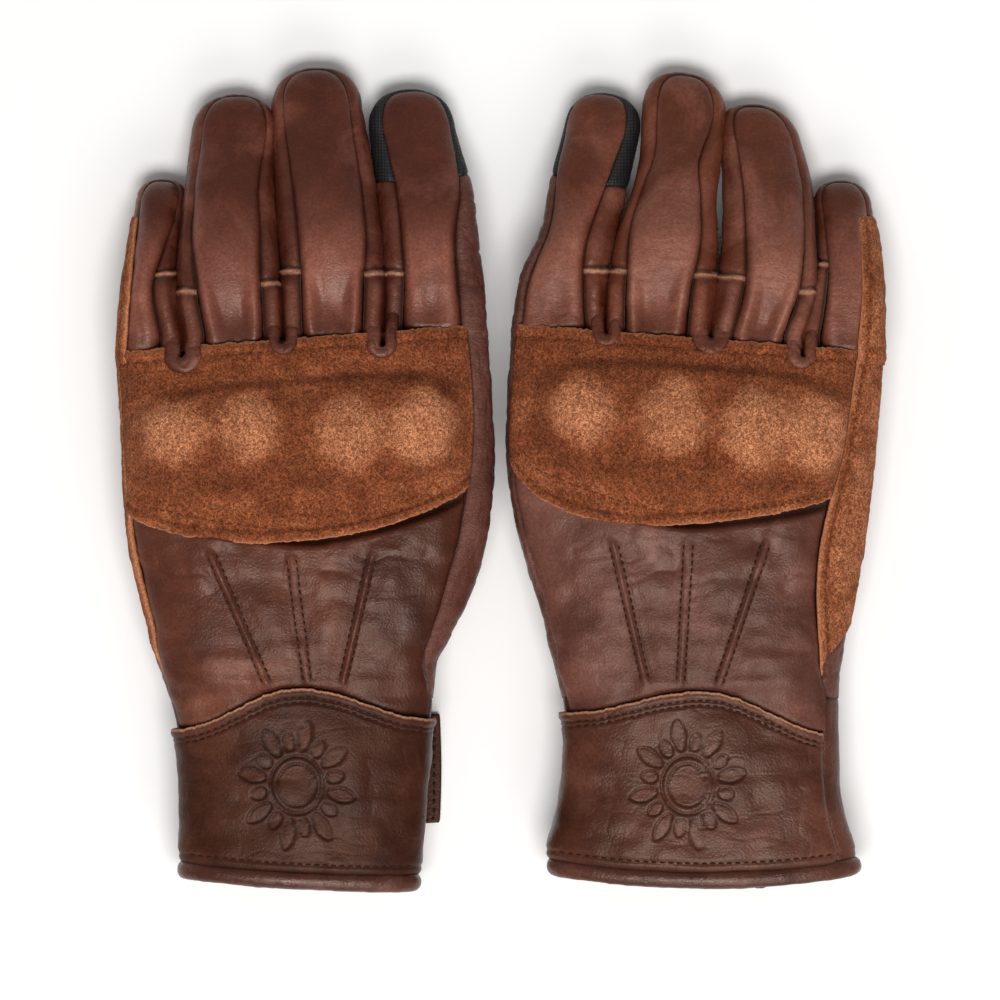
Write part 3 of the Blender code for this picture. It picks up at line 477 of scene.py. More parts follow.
class Nodes:
    """A small helper that adds shader nodes and links them."""

    def __init__(self, name):
        self.material = bpy.data.materials.new(name)
        self.material.use_nodes = True
        self.tree = self.material.node_tree
        self.shader = self.tree.nodes["Principled BSDF"]
        rest = self.add("ShaderNodeAttribute")
        rest.attribute_name = "rest"
        self.rest = rest.outputs["Vector"]

    def add(self, kind, **inputs):
        node = self.tree.nodes.new(kind)
        for key, value in inputs.items():
            self.put(node, key.replace("_", " "), value)
        return node

    def put(self, node, key, value):
        socket = node.inputs[int(key)] if str(key).isdigit() else node.inputs[key]
        if isinstance(value, bpy.types.NodeSocket):
            self.tree.links.new(value, socket)
        else:
            socket.default_value = value

    def mark(self, name):
        node = self.add("ShaderNodeAttribute")
        node.attribute_name = name
        return node.outputs["Fac"]

    def math(self, operation, a, b, clamp=False):
        node = self.add("ShaderNodeMath")
        node.operation, node.use_clamp = operation, clamp
        self.put(node, 0, a)
        self.put(node, 1, b)
        return node.outputs[0]

    def times(self, a, b, clamp=False):
        return self.math("MULTIPLY", a, b, clamp)

    def plus(self, a, b, clamp=False):
        return self.math("ADD", a, b, clamp)

    def noise(self, cell, detail=3.0, rough=0.55, distort=0.0, stretch=None):
        """Noise from about 0 to 1, with its cell size in mm."""
        where = self.rest
        if stretch:
            mapping = self.add("ShaderNodeMapping", Vector=where)
            mapping.inputs["Scale"].default_value = stretch
            where = mapping.outputs[0]
        node = self.add("ShaderNodeTexNoise", Vector=where, Scale=1000 / cell, Detail=detail, Roughness=rough,
                        Distortion=distort)
        return node.outputs["Fac"]

    def cells(self, cell, feature="F1"):
        node = self.add("ShaderNodeTexVoronoi", Vector=self.rest, Scale=1000 / cell)
        node.feature = feature
        return node.outputs["Distance"]

    def span(self, value, low, high, out_low=0.0, out_high=1.0):
        node = self.add("ShaderNodeMapRange")
        for key, number in enumerate((value, low, high, out_low, out_high)):
            self.put(node, key, number)
        return node.outputs[0]

    def mix(self, share, a, b, kind="MIX"):
        node = self.add("ShaderNodeMix")
        node.data_type, node.blend_type = "RGBA", kind
        for key, value in ((0, share), (6, a), (7, b)):
            if isinstance(value, tuple) and len(value) == 3:
                value = (*value, 1)
            self.put(node, key, value)
        return node.outputs[2]

    def bump(self, height, distance, strength=1.0, under=None):
        node = self.add("ShaderNodeBump", Height=height, Distance=distance * MM, Strength=strength)
        if under is not None:
            self.put(node, "Normal", under)
        return node.outputs[0]

    def finish(self, colour, roughness, normal=None, **constants):
        self.put(self.shader, "Base Color", colour)
        self.put(self.shader, "Roughness", roughness)
        if normal is not None:
            self.put(self.shader, "Normal", normal)
        for key, value in constants.items():
            self.put(self.shader, key.replace("_", " "), value)
        return self.material


def leather(name, dark, light, worn_and_sheen_colour, roughness=0.42, grain=0.55, gloss=0.30, dents=0.2):
    """Smooth grain leather. The tone mark brightens or darkens it: random tone, and painted highlights and painted
    shade where a piece sets them. The groove mark darkens it: painted shade in seams and under overlapping edges,
    partly the seams' own dark colour. raw is a cut edge and fold is where it is finely wrinkled. The fourth colour is
    that of its worn places and of its painted sheen."""
    n = Nodes(name)
    colour = n.mix(n.span(n.noise(15, 5, 0.62, 0.5), 0.33, 0.67), dark, light)
    tone = n.mark("tone")
    # Towards the worn-and-sheen colour in random worn patches and where the tone mark is high: partly wear, partly a
    # painted sheen and painted highlights.
    wear_and_sheen = n.plus(n.span(n.noise(24, 4, 0.6, 0.7), 0.48, 0.72, 0, 0.55), tone, True)
    colour = n.mix(wear_and_sheen, colour, worn_and_sheen_colour)
    pores = n.cells(0.8)
    fine = n.noise(1.0, 4, 0.72)
    colour = n.mix(n.span(fine, 0.35, 0.72, 0.0, 0.55), colour, tuple(c * 0.45 for c in dark))
    colour = n.mix(n.span(n.noise(0.55, 3, 0.7), 0.55, 0.75, 0.0, 0.16), colour, worn_and_sheen_colour)
    # Darker where the tone mark falls below zero: random tone, and painted shade where a piece sets it so.
    colour = n.mix(n.times(tone, -1.0, True), colour, tuple(c * 0.3 for c in dark))
    groove = n.mark("groove")
    # Near-black in the groove mark: painted shade in seams, in recesses and under overlapping edges, partly the seams'
    # own dark colour.
    colour = n.mix(n.times(groove, 0.9, True), colour, (0.012, 0.0035, 0.0022))
    fibres = n.mix(n.span(n.noise(0.6, 4, 0.7), 0.3, 0.7), (0.20, 0.072, 0.036), (0.62, 0.32, 0.20))
    colour = n.mix(n.mark("raw"), colour, fibres)
    pebble = n.cells(1.15, "DISTANCE_TO_EDGE")
    height = n.plus(n.times(pores, 0.7), n.span(pebble, 0.0, 0.3, 0, 0.9))
    height = n.plus(height, n.times(n.noise(0.4, 3, 0.65), 0.6))
    normal = n.bump(height, 0.085, grain)
    normal = n.bump(n.noise(2.8, 3, 0.5, 0.6), 0.45, dents, normal)
    lines = n.noise(1.9, 4, 0.6, 3.4, (0.42, 1.0, 0.5))
    normal = n.bump(n.times(lines, n.mark("fold")), 0.75, 0.6, normal)
    rough = n.span(n.noise(5, 5, 0.65), 0.25, 0.75, roughness - 0.09, roughness + 0.10)
    rough = n.plus(rough, n.times(groove, 0.3), True)
    rough = n.math("MAXIMUM", rough, n.times(n.mark("raw"), 0.9))
    return n.finish(colour, rough, normal, Specular_IOR_Level=gloss, Specular_Tint=(1.0, 0.80, 0.70, 1))


def suede(name, dark, light, pale):
    """Napped split leather: short fibres lying every way, brushed light and dark, with a pale cut edge, and painted
    highlights and painted shade where the tone mark says.
    """
    n = Nodes(name)
    brushed = n.span(n.noise(11, 5, 0.62, 0.8), 0.30, 0.70)
    colour = n.mix(brushed, dark, light)
    tone = n.mark("tone")
    # The tone mark turns it pale where high and darker where low: random tone and brushed wear, and painted highlights
    # and painted shade over the knuckle domes.
    colour = n.mix(n.times(tone, 0.85, True), colour, pale)
    colour = n.mix(n.times(tone, -0.9, True), colour, tuple(c * 0.5 for c in dark))
    nap = None
    for turn, seed in ((0.6, 0.0), (1.6, 3.1), (2.6, 7.7)):
        mapping = n.add("ShaderNodeMapping", Vector=n.rest)
        mapping.vector_type = "TEXTURE"
        mapping.inputs["Rotation"].default_value = (0, 0, turn)
        mapping.inputs["Location"].default_value = (seed, seed, 0)
        mapping.inputs["Scale"].default_value = (2.3, 1.0, 1.3)
        hair = n.add("ShaderNodeTexNoise", Vector=mapping.outputs[0], Scale=1000 / 0.5, Detail=3.0, Roughness=0.72,
                     Distortion=0.7)
        nap = hair.outputs["Fac"] if nap is None else n.math("MAXIMUM", nap, hair.outputs["Fac"])
    shade = n.mix(n.span(nap, 0.50, 0.67), (0.36, 0.31, 0.28), (1.60, 1.66, 1.70))
    colour = n.mix(1.0, colour, shade, "MULTIPLY")
    pits = n.noise(1.5, 4, 0.75, 0.8)
    colour = n.mix(n.span(pits, 0.50, 0.66, 0.0, 0.45), colour, tuple(c * 0.45 for c in dark))
    # Near-black in the groove mark: painted shade in seams and where the suede sinks under other pieces.
    colour = n.mix(n.times(n.mark("groove"), 0.85, True), colour, (0.02, 0.007, 0.004))
    fibres = n.mix(n.span(n.noise(0.5, 3), 0.3, 0.7), light, tuple(min(1, c * 1.25) for c in pale))
    colour = n.mix(n.times(n.mark("raw"), 0.75), colour, fibres)
    fuzz = n.plus(nap, n.times(n.noise(0.5, 4, 0.8, 0.5), 0.8))
    normal = n.bump(fuzz, 0.55, 0.9)
    normal = n.bump(n.noise(2.4, 5, 0.7), 0.7, 0.55, normal)
    return n.finish(colour, n.span(nap, 0.3, 0.8, 0.86, 1.0), normal, Sheen_Weight=0.06, Sheen_Roughness=0.5,
                    Sheen_Tint=(1.0, 0.72, 0.52, 1), Specular_IOR_Level=0.1)


def plain(name, dark, light, cell, roughness, bump_mm, weave=False, **constants):
    """Thread, knitted fabric and hook-and-loop: a fine texture in two tones."""
    n = Nodes(name)
    colour = n.mix(n.span(n.noise(cell, 3), 0.3, 0.7), dark, light)
    height = n.noise(cell, 3)
    if weave:
        wave = n.add("ShaderNodeTexWave", Vector=n.rest, Scale=1000 / (cell * 6.3), Distortion=1.2, Detail=2.0)
        other = n.add("ShaderNodeTexWave", Vector=n.rest, Scale=1000 / (cell * 6.3), Distortion=1.2, Detail=2.0)
        other.bands_direction = "Y"
        height = n.times(wave.outputs["Fac"], other.outputs["Fac"])
        colour = n.mix(n.span(height, 0.05, 0.6), dark, light)
    rough = n.span(n.noise(cell * 4, 2), 0.3, 0.7, roughness - 0.06, roughness + 0.06)
    return n.finish(colour, rough, n.bump(height, bump_mm, 0.8), **constants)


FINGER = {"left": leather("finger_leather_left", (0.064, 0.0115, 0.0048), (0.104, 0.0215, 0.0095),
                          (0.320, 0.106, 0.070), 0.40, 0.42, 0.50, 0.10),
          "right": leather("finger_leather_right", (0.088, 0.0185, 0.0078), (0.142, 0.0340, 0.0155),
                           (0.350, 0.132, 0.090), 0.43, 0.42, 0.46, 0.12)}
WARM = leather("warm_leather", (0.110, 0.0240, 0.0100), (0.155, 0.038, 0.017), (0.30, 0.100, 0.062), 0.40, 0.5, 0.4)
BACK = {"left": leather("back_leather_left", (0.060, 0.0135, 0.0066), (0.116, 0.0290, 0.0142),
                        (0.260, 0.090, 0.054), 0.40, 0.45, 0.34),
        "right": leather("back_leather_right", (0.064, 0.0172, 0.0105), (0.116, 0.0365, 0.0230),
                         (0.270, 0.108, 0.082), 0.42, 0.45, 0.34)}
CUFF = {"left": leather("cuff_leather_left", (0.028, 0.0062, 0.0026), (0.056, 0.0145, 0.0062),
                        (0.130, 0.043, 0.023), 0.42, 0.42, 0.20),
        "right": leather("cuff_leather_right", (0.044, 0.0100, 0.0042), (0.084, 0.0225, 0.0105),
                         (0.190, 0.068, 0.044), 0.38, 0.42, 0.30)}
PIPING = leather("piping_leather", (0.044, 0.0108, 0.0060), (0.078, 0.0210, 0.0118), (0.180, 0.066, 0.042),
                 0.30, 0.3, 0.5, 0.06)
PALM = leather("palm_leather", (0.086, 0.0245, 0.0158), (0.150, 0.054, 0.038), (0.280, 0.126, 0.098), 0.42, 0.6)
SUEDE = suede("knuckle_suede", (0.205, 0.050, 0.0175), (0.385, 0.112, 0.043), (0.80, 0.330, 0.160))
TOUCH = plain("touch_knit", (0.003, 0.003, 0.0035), (0.012, 0.012, 0.014), 0.5, 0.62, 0.2, True)
THREAD = plain("thread", (0.014, 0.0045, 0.0025), (0.045, 0.014, 0.008), 0.3, 0.7, 0.1, Specular_IOR_Level=0.12)
SUEDE_THREAD = plain("suede_thread", (0.085, 0.024, 0.010), (0.190, 0.058, 0.024), 0.3, 0.85, 0.1,
                     Specular_IOR_Level=0.05)
LINING = plain("fleece_lining", (0.030, 0.024, 0.021), (0.075, 0.060, 0.052), 1.2, 0.95, 0.5, False,
               Sheen_Weight=0.3)
HOOKS = plain("hook_and_loop", (0.004, 0.004, 0.004), (0.026, 0.026, 0.027), 0.8, 0.8, 0.6, True)
GUARD_SHELL = plain("guard_shell", (0.012, 0.012, 0.012), (0.03, 0.03, 0.03), 1.5, 0.5, 0.1)


# --- stitches ---------------------------------------------------------------------------------------


def surface_of(obj):
    mesh = obj.data
    co = np.empty(len(mesh.vertices) * 3, np.float32)
    mesh.vertices.foreach_get("co", co)
    faces = np.empty(len(mesh.polygons) * 4, np.int32)
    mesh.polygons.foreach_get("vertices", faces)
    return BVHTree.FromPolygons([tuple(c) for c in co.reshape(-1, 3).tolist()], faces.reshape(-1, 4).tolist())


def drop(surface, side, u, v, below=False):
    """Point and normal of the skin over (u, v), seen from above or from below, in metres."""
    x, y, _ = to_world(side, np.array([u, v, 0.0]))
    hit, normal, _, _ = surface.ray_cast(Vector((x, y, -0.1 if below else 0.1)), Vector((0, 0, 1 if below else -1)))
    return None if hit is None else (hit, normal)


def sew(name, body, stitches, width, thread=THREAD):
    """One mesh of many short thread capsules, each from a start to an end point with a normal."""
    ring, spans = 6, (0.0, 0.12, 0.32, 0.68, 0.88, 1.0)
    girth = (0.25, 0.75, 1.0, 1.0, 0.75, 0.25)
    sink = (0.9, 0.35, 0.0, 0.0, 0.35, 0.9)
    points, faces = [], []
    for start, end, up in stitches:
        start, end, up = np.array(start), np.array(end), np.array(up)
        line = (end - start) / max(np.linalg.norm(end - start), 1e-9)
        across = np.cross(line, up)
        across /= max(np.linalg.norm(across), 1e-9)
        up = np.cross(across, line)
        first = len(points)
        for t, g, low in zip(spans, girth, sink):
            middle = lerp(start, end, t) + up * (0.05 - low * width) * MM
            for k in range(ring):
                turn = 2 * math.pi * k / ring
                points.append(middle + (across * math.cos(turn) + up * 0.8 * math.sin(turn)) * width * g * MM)
        for j in range(len(spans) - 1):
            for k in range(ring):
                m = (k + 1) % ring
                faces.append((first + j * ring + k, first + j * ring + m,
                              first + (j + 1) * ring + m, first + (j + 1) * ring + k))
        last = first + (len(spans) - 1) * ring
        for base, order in ((first, (0, 5, 4, 3)), (first, (0, 3, 2, 1)), (last, (0, 1, 2, 3)), (last, (0, 3, 4, 5))):
            faces.append(tuple(base + k for k in order))
    points = np.array(points)
    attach(make_object(name, points, np.array(faces), {"rest": points}, thread), body)


def row_of_stitches(surface, side, path, pitch=2.7, length=1.9, below=False):
    """Stitches along a path of (u, v) points, laid on the skin."""
    path = np.array(path, float)
    run = np.concatenate([[0], np.cumsum(np.linalg.norm(np.diff(path, axis=0), axis=1))])
    made, at = [], pitch / 2
    while at + length < run[-1]:
        ends = []
        for t in (at, at + length):
            ends.append(drop(surface, side, np.interp(t, run, path[:, 0]), np.interp(t, run, path[:, 1]), below))
        if None not in ends:
            made.append((ends[0][0], ends[1][0], ends[0][1]))
        at += pitch
    return made


# --- back of the hand, cuff and palm ----------------------------------------------------------------


def crotch_field(side, p):
    """1 where the U of a crotch lies over the suede, 0 away from it."""
    deepest = np.zeros(p.shape[:-1])
    for low, _, _, high, bottom in CROTCHES[side].values():
        half = (high - low) / 2
        r = np.hypot(p[..., 0] - (low + high) / 2, np.maximum(0, bottom + half - p[..., 1]))
        deepest = np.maximum(deepest, smooth((half - 0.5 - r) / 1.3))
    return deepest


def guard_plateau(side, u, v):
    """1 over the knuckle insert, 0 away from it."""
    low_u, high_u, low_v, high_v = GUARD[side]
    across = np.abs(u - (low_u + high_u) / 2) / ((high_u - low_u) / 2)
    length = np.abs(v - (low_v + high_v) / 2 - KNUCKLE_SLOPE * u) / ((high_v - low_v) / 2)
    r = (across**4 + length**4) ** 0.25
    return smooth((1.12 - r) / 0.24)


def dome_rise(side, u, v):
    """Height of the knuckle domes in mm."""
    return sum(height * np.exp(-1.15 * (((u - cu) / wide) ** 2 + ((v - cv) / long) ** 2) ** 1.2)
               for cu, cv, wide, long, height in DOMES[side])


def cover_lift(side, p):
    u, v = p[..., 0], p[..., 1]
    return COVER_LIFT + 1.5 * guard_plateau(side, u, v) + 1.45 * dome_rise(side, u, v)


def make_back(side):
    foot = CUFF_CREST[side][0] - 12

    def base(a, b):
        v, angle, _ = settle(
            side, np.full_like(a, HAND_FOOT), 3, lambda v: lerp(*seam_angles(side, v), a),
            lambda u, angle: lerp(foot, cover_edge(side, power_cos(angle, TOP_POWER)) + 9, b))
        return hand_point(side, v, angle)

    def relief(p, d):
        seam = d["a"]
        inner = smooth((p[..., 1] + 66) / 6)
        rise = (seam_dip(seam, 0.9) + pillow(seam, 1.2, 4)) * inner
        rise += leather_relief(p, 3 if side == "left" else 4, 0.75, 0.1, (9, 5, 5))
        low_hand = bell(p[..., 1] + 54, 14)
        below_cover = bell(p[..., 1] + 26, 10)
        rise -= 0.55 * creases(p, (16, 5, 9), 73, 2) * below_cover
        rise += 0.5 * noise(p, (14, 6, 9), 74) * below_cover
        rise += 0.75 * noise(p, (18, 7, 12), 71) * low_hand + 0.4 * noise(p, (9, 3.6, 8), 72) * low_hand
        groove = seam_shade(seam)
        shift = smooth((p[..., 0] - 8) / 22)
        tone = 0.24 * noise(p, 15, 9) + (-0.40 if side == "left" else 0.22) * shift
        for start, end in DARTS[side]:
            distance, t = to_segment(p, start, end)
            here = smooth((t + 0.03) / 0.05) * smooth((1.03 - t) / 0.05)
            wide = smooth((t + 0.08) / 0.1) * smooth((1.08 - t) / 0.12)
            rise += here * (0.8 * bell(distance, 0.75) - 0.55 * bell(distance - 1.35, 0.5))
            rise -= 0.4 * wide * bell(distance - 3.2, 2.2)
            tone = tone + 0.12 * here * bell(distance, 0.6)
            # Darker in the stitch grooves beside each dart's ridge: painted shade.
            groove = np.maximum(groove, 0.4 * here * bell(distance - 1.3, 0.35))
        # Below the knuckle cover's edge and the cuff's crest the skin dips under them and is darkened: painted shadow.
        centre, half, *_ = hand_section(side, p[..., 1])
        share = (p[..., 0] - centre) / half
        under = p[..., 1] - cover_edge(side, share)
        rise = lerp(rise, -2.0, smooth((under + 1.6) / 2.6))
        groove = np.maximum(groove, 0.8 * smooth((under + 0.8) / 1.2))
        crest = crest_line(side, share) - p[..., 1]
        rise = lerp(rise, -1.2, smooth((crest + 1.6) / 3))
        groove = np.maximum(groove, 0.7 * smooth((crest + 0.7) / 1.2))
        return rise, {"groove": groove, "tone": tone, "fold": 0.05 + 0.2 * low_hand}

    return hand_skin(side, "back_leather", "back_panel", base, (130, 96), relief, BACK[side], "dark_leather")


def make_cover(side):
    def base(a, b):
        v, angle, u = settle(side, np.full_like(a, 10.0), 4, lambda v: lerp(*seam_angles(side, v), a),
                             lambda u, _: lerp(cover_edge(side, 1 - 2 * a), knuckle_line(u) + 0.6, b))
        flat = np.stack([u, v, u * 0], -1)
        jag = 0.26 * noise(flat, 2.4, 81) + 0.32 * noise(flat, 0.8, 82)
        return hand_point(side, v + jag * (bell(1 - b, 0.02) - bell(b, 0.02)), angle)

    def relief(p, d):
        u, v = p[..., 0], p[..., 1]
        rise = cover_lift(side, p)
        rise *= 1 - 0.42 * np.exp(-d["a"] / 2.2)
        rise += 0.28 * noise(p, 9, 41) + 0.12 * noise(p, 3.5, 42) + 0.14 * noise(p, 1.4, 43)
        plateau = guard_plateau(side, u, v)
        rim = 4 * plateau * (1 - plateau)
        dome = dome_rise(side, u, v)
        # Lighter over the domes' tops and darker on the insert between them: partly brushed wear of the suede, partly
        # painted highlight and painted shade.
        tone = 0.80 * smooth(dome / 2.9) - 0.30 * plateau * smooth(1 - dome / 1.6)
        tone += 0.20 * noise(p, (8, 6, 8), 51) + 0.16 * noise(p, 3, 52) - 0.06
        # Darker along the upper rim of the knuckle insert: painted shade.
        tone -= 0.42 * rim * smooth((v - 18) / 8)
        edge = d["b"]
        tone += 0.2 * np.exp(-edge / 1.0)
        row = np.abs(edge - COVER_ROW)
        rise += stitch_groove(row, 0.45, 0.7) + 0.25 * bell(edge - 1.8, 1.2) - 0.5 * np.exp(-edge / 0.5)
        tone -= 0.35 * bell(row, 0.5)
        # Where a crotch's U lies over the suede, the suede sinks under it and is darkened: painted shade.
        under = crotch_field(side, p)
        return rise - 7.0 * under, {"groove": np.maximum(0.9 * seam_shade(d["a"]), 0.9 * under), "tone": tone,
                                    "raw": np.clip(np.exp(-np.minimum(edge, 9) / 0.3), 0, 1)}

    return hand_skin(side, "knuckle_suede", "knuckle_cover", base, (230, 130), relief, SUEDE, "suede", 1.4)


def make_guard(side):
    low_u, high_u, low_v, high_v = GUARD[side]

    def base(a, b):
        pull = 1 - 0.28 * np.abs(2 * b - 1) ** 3
        u = (low_u + high_u) / 2 - (high_u - low_u) / 2 * (2 * a - 1) * pull * 0.92
        v = lerp(low_v + 2, high_v - 3, b) + KNUCKLE_SLOPE * u
        centre, half, *_ = hand_section(side, v)
        return hand_point(side, v, angle_at((u - centre) / half, TOP_POWER))

    def relief(p, d):
        edge = np.minimum(d["a"], d["b"])
        return (cover_lift(side, p) - COVER_LIFT) * smooth(edge / 3) + 0.1, {}

    hand_skin(side, "knuckle_guard", "knuckle_armour", base, (60, 26), relief, GUARD_SHELL, "armour", 0.8)


def emboss(side, u, v):
    """A plain ring with rays, pressed into the cuff: (outlines, pressed areas), each from 0 to 1."""
    cu, cv = (-2.0, -91.5) if side == "left" else (2.2, -91.5)
    x, y = u - cu, (v - cv) / 1.12
    r = np.hypot(x, y)
    rays, root = 16, 9.0
    turn = np.arctan2(x, y) * rays / (2 * math.pi)
    reach = 17.8 - 3.6 * (np.floor(turn) % 2)
    half = 0.36 * np.sin(np.clip((r - root) / (reach - root), 0, 1) ** 0.8 * math.pi) ** 0.8
    inside = (r > root) & (r < reach)
    off = (np.abs(turn % 1 - 0.5) - half) * 2 * math.pi * r / rays
    outline = np.maximum(np.where(inside, bell(off, 0.36), 0), np.maximum(bell(r - 7.7, 0.45), bell(r - 5.6, 0.4)))
    return outline, np.maximum(np.where(inside, smooth(0.5 - off / 0.9), 0), smooth((5.4 - r) / 0.7))


def cuff_angles(side, v):
    _, half, _, _, _ = hand_section(side, v)
    if side == "left":
        return np.full_like(half, -0.2), np.full_like(half, math.pi + 0.2)
    return np.full_like(half, -0.2), math.pi - angle_at(1 - along(CUFF_INSET, v, 1) / half, TOP_POWER)


def make_cuff_back(side):
    def base(a, b):
        v = np.full_like(a, -90.0)
        for _ in range(3):
            low, high = cuff_angles(side, v)
            share = power_cos(lerp(low, high, a), TOP_POWER)
            v = lerp(hem_line(side, share) + CUFF_FOOT, crest_line(side, share), b)
        low, high = cuff_angles(side, v)
        flat = np.stack([share * 40, v * 0, v * 0], -1)
        v = v + (0.35 * noise(flat, 2.4, 91) + 0.25 * noise(flat, 0.8, 92)) * bell(1 - b, 0.02)
        return hand_point(side, v, lerp(low, high, a))

    def relief(p, d):
        u, v = p[..., 0], p[..., 1]
        rise = 1.6 + leather_relief(p, 11 if side == "left" else 12, 0.6, 0.1, (10, 4, 5))
        rise += 0.35 * noise(p, (14, 5, 9), 15) * smooth((v + 112) / 10)
        outline, pressed = emboss(side, u, v)
        rise -= 0.5 * outline + 0.32 * pressed * (1 - outline)
        edge, hem = d["b1"], d["b0"]
        for row in CUFF_ROWS:
            rise += stitch_groove(edge - row, 0.35, 0.45)
        rise += 0.3 * bell(edge - 1.2, 1.0)
        rise += stitch_groove(hem - HEM_ROW, 0.35, 0.7) - 1.5 * np.exp(-hem / 1.0)
        if side == "right":
            rise -= 1.2 * np.exp(-d["a"] / 1.0)
        # Darker along the emboss's pressed outlines; the pressed areas a little lighter, a painted sheen.
        tone = 0.18 * noise(p, 13, 19) - 0.6 * outline + 0.16 * pressed * (1 - outline)
        tone = tone + 0.2 * bell(edge - 1.2, 0.9)
        rows = np.maximum(*(bell(edge - row, 0.3) for row in CUFF_ROWS))
        # Dark where the skin turns down into the hem: painted shade; a little darker along the stitch rows.
        return rise, {"groove": np.maximum(0.9 * seam_shade(hem, 0.9), 0.35 * rows), "tone": tone,
                      "raw": np.clip(1.3 * np.exp(-((edge / 0.6) ** 3)), 0, 1), "fold": 0.08}

    return hand_skin(side, "cuff_leather", "cuff_back", base, (250, 150), relief, CUFF[side], "dark_leather", 1.3)


def make_cuff_palm(side):
    def base(a, b):
        v = np.full_like(a, -90.0)
        for _ in range(3):
            first, last = seam_angles(side, np.full_like(v, HAND_FOOT))
            if side == "right":
                last = cuff_angles(side, v)[1]
            angle = lerp(first, last - 2 * math.pi, a)
            power = np.where(np.sin(angle) > 0, TOP_POWER, BASE_POWER)
            v = lerp(hem_line(side, power_cos(angle, power)) + 1.6, HAND_FOOT + 0.5, b)
        return hand_point(side, v, angle)

    def relief(p, d):
        seam = d["a"]
        rise = seam_dip(seam, 0.8) + leather_relief(p, 13, 0.22, 0.15, (8, 4, 5)) * smooth((p[..., 2] - 6) / 6)
        rise += stitch_groove(d["b0"] - HEM_ROW, 0.3, 0.7) - 0.8 * np.exp(-d["b0"] / 0.9)
        rise += seam_dip(d["b1"], 0.5)
        return rise, {"groove": np.maximum(seam_shade(seam), seam_shade(d["b"], 0.6)),
                      "tone": 0.1 * noise(p, 11, 29), "fold": 0.5}

    hand_skin(side, "cuff_palm_leather", "cuff_palm", base, (150, 46), relief, CUFF[side], "dark_leather")


def make_palm(side):
    def base(a, b):
        v, angle, _ = settle(side, np.zeros_like(a), 4,
                             lambda v: lerp(seam_angles(side, v)[0], strip_lower_angle(side, v) - 2 * math.pi, a),
                             lambda u, _: lerp(HAND_FOOT, knuckle_line(u) + 1.0, b))
        return hand_point(side, v, angle)

    def relief(p, d):
        seam = d["a"]
        edge = smooth((p[..., 2] - 13) / 6)
        rise = seam_dip(seam, 0.9) + pillow(seam, 0.6, 2.5)
        rise += leather_relief(p, 21, 0.25, 0.2, (6, 3, 5)) * lerp(0.35, 1, edge) - 0.5
        rise -= edge * 0.45 * creases(p, (9, 2.6, 7), 23, 3)
        rise += edge * 0.45 * noise(p, (12, 7, 9), 25) - 0.8 * smooth((2.2 - d["b1"]) / 2.2)
        return rise, {"groove": np.maximum(seam_shade(seam), 0.7 * seam_shade(d["b0"], 0.6)),
                      "tone": 0.15 * noise(p, 10, 26), "fold": lerp(0.3, 1.0, edge)}

    hand_skin(side, "palm_leather", "palm_panel", base, (150, 100), relief, PALM, "leather")


def make_side_strip(side):
    def base(a, b):
        v, angle, _ = settle(side, np.zeros_like(a), 4,
                             lambda v: lerp(seam_angles(side, v)[1], strip_lower_angle(side, v), a),
                             lambda u, _: lerp(STRIP_START - 0.5, knuckle_line(u) + 1.2, b))
        return hand_point(side, v, angle)

    def relief(p, d):
        rise, marks = strip_relief(p, d["a0"], d["a1"], d["b0"])
        return rise - 0.9 * smooth((2.6 - d["b1"]) / 2.6), marks

    return hand_skin(side, "side_suede", "side_strip", base, (44, 150), relief, SUEDE, "suede", 1.5)


def strip_relief(p, inner, outer, foot):
    """Relief of the suede strip: a raw inner edge over the back, with a stitch row inside it."""
    rise = 0.95 + 0.2 * noise(p, 4, 61) + 0.16 * noise(p, 1.4, 62) - 0.5 * np.exp(-inner / 0.5)
    rise += stitch_groove(inner - STRIP_ROW, 0.4, 0.6) - 1.3 * np.exp(-outer / 0.9) - 0.5 * np.exp(-foot / 0.8)
    tone = 0.22 * noise(p, (5, 9, 5), 63) + 0.18 * noise(p, 2.4, 64) + 0.22
    tone -= 0.35 * bell(inner - STRIP_ROW, 0.5)
    return rise, {"tone": tone, "raw": np.clip(np.exp(-inner / 0.35), 0, 1), "groove": 0.7 * seam_shade(outer)}


def make_lining(side):
    def base(a, b):
        angle = 2 * math.pi * a
        v = lerp(hem_line(side, power_cos(angle, TOP_POWER)) + 0.8, 28.0, b)
        return hand_point(side, v, angle, lerp(-2.0, -3.0, smooth(b * 14)))

    def relief(p, d):
        return 0.25 * noise(p, 4, 95) + 0.12 * noise(p, 1.8, 96), {}

    hand_skin(side, "lining", "hand_lining", base, (96, 90), relief, LINING, "lining", 0.7, ring=True)


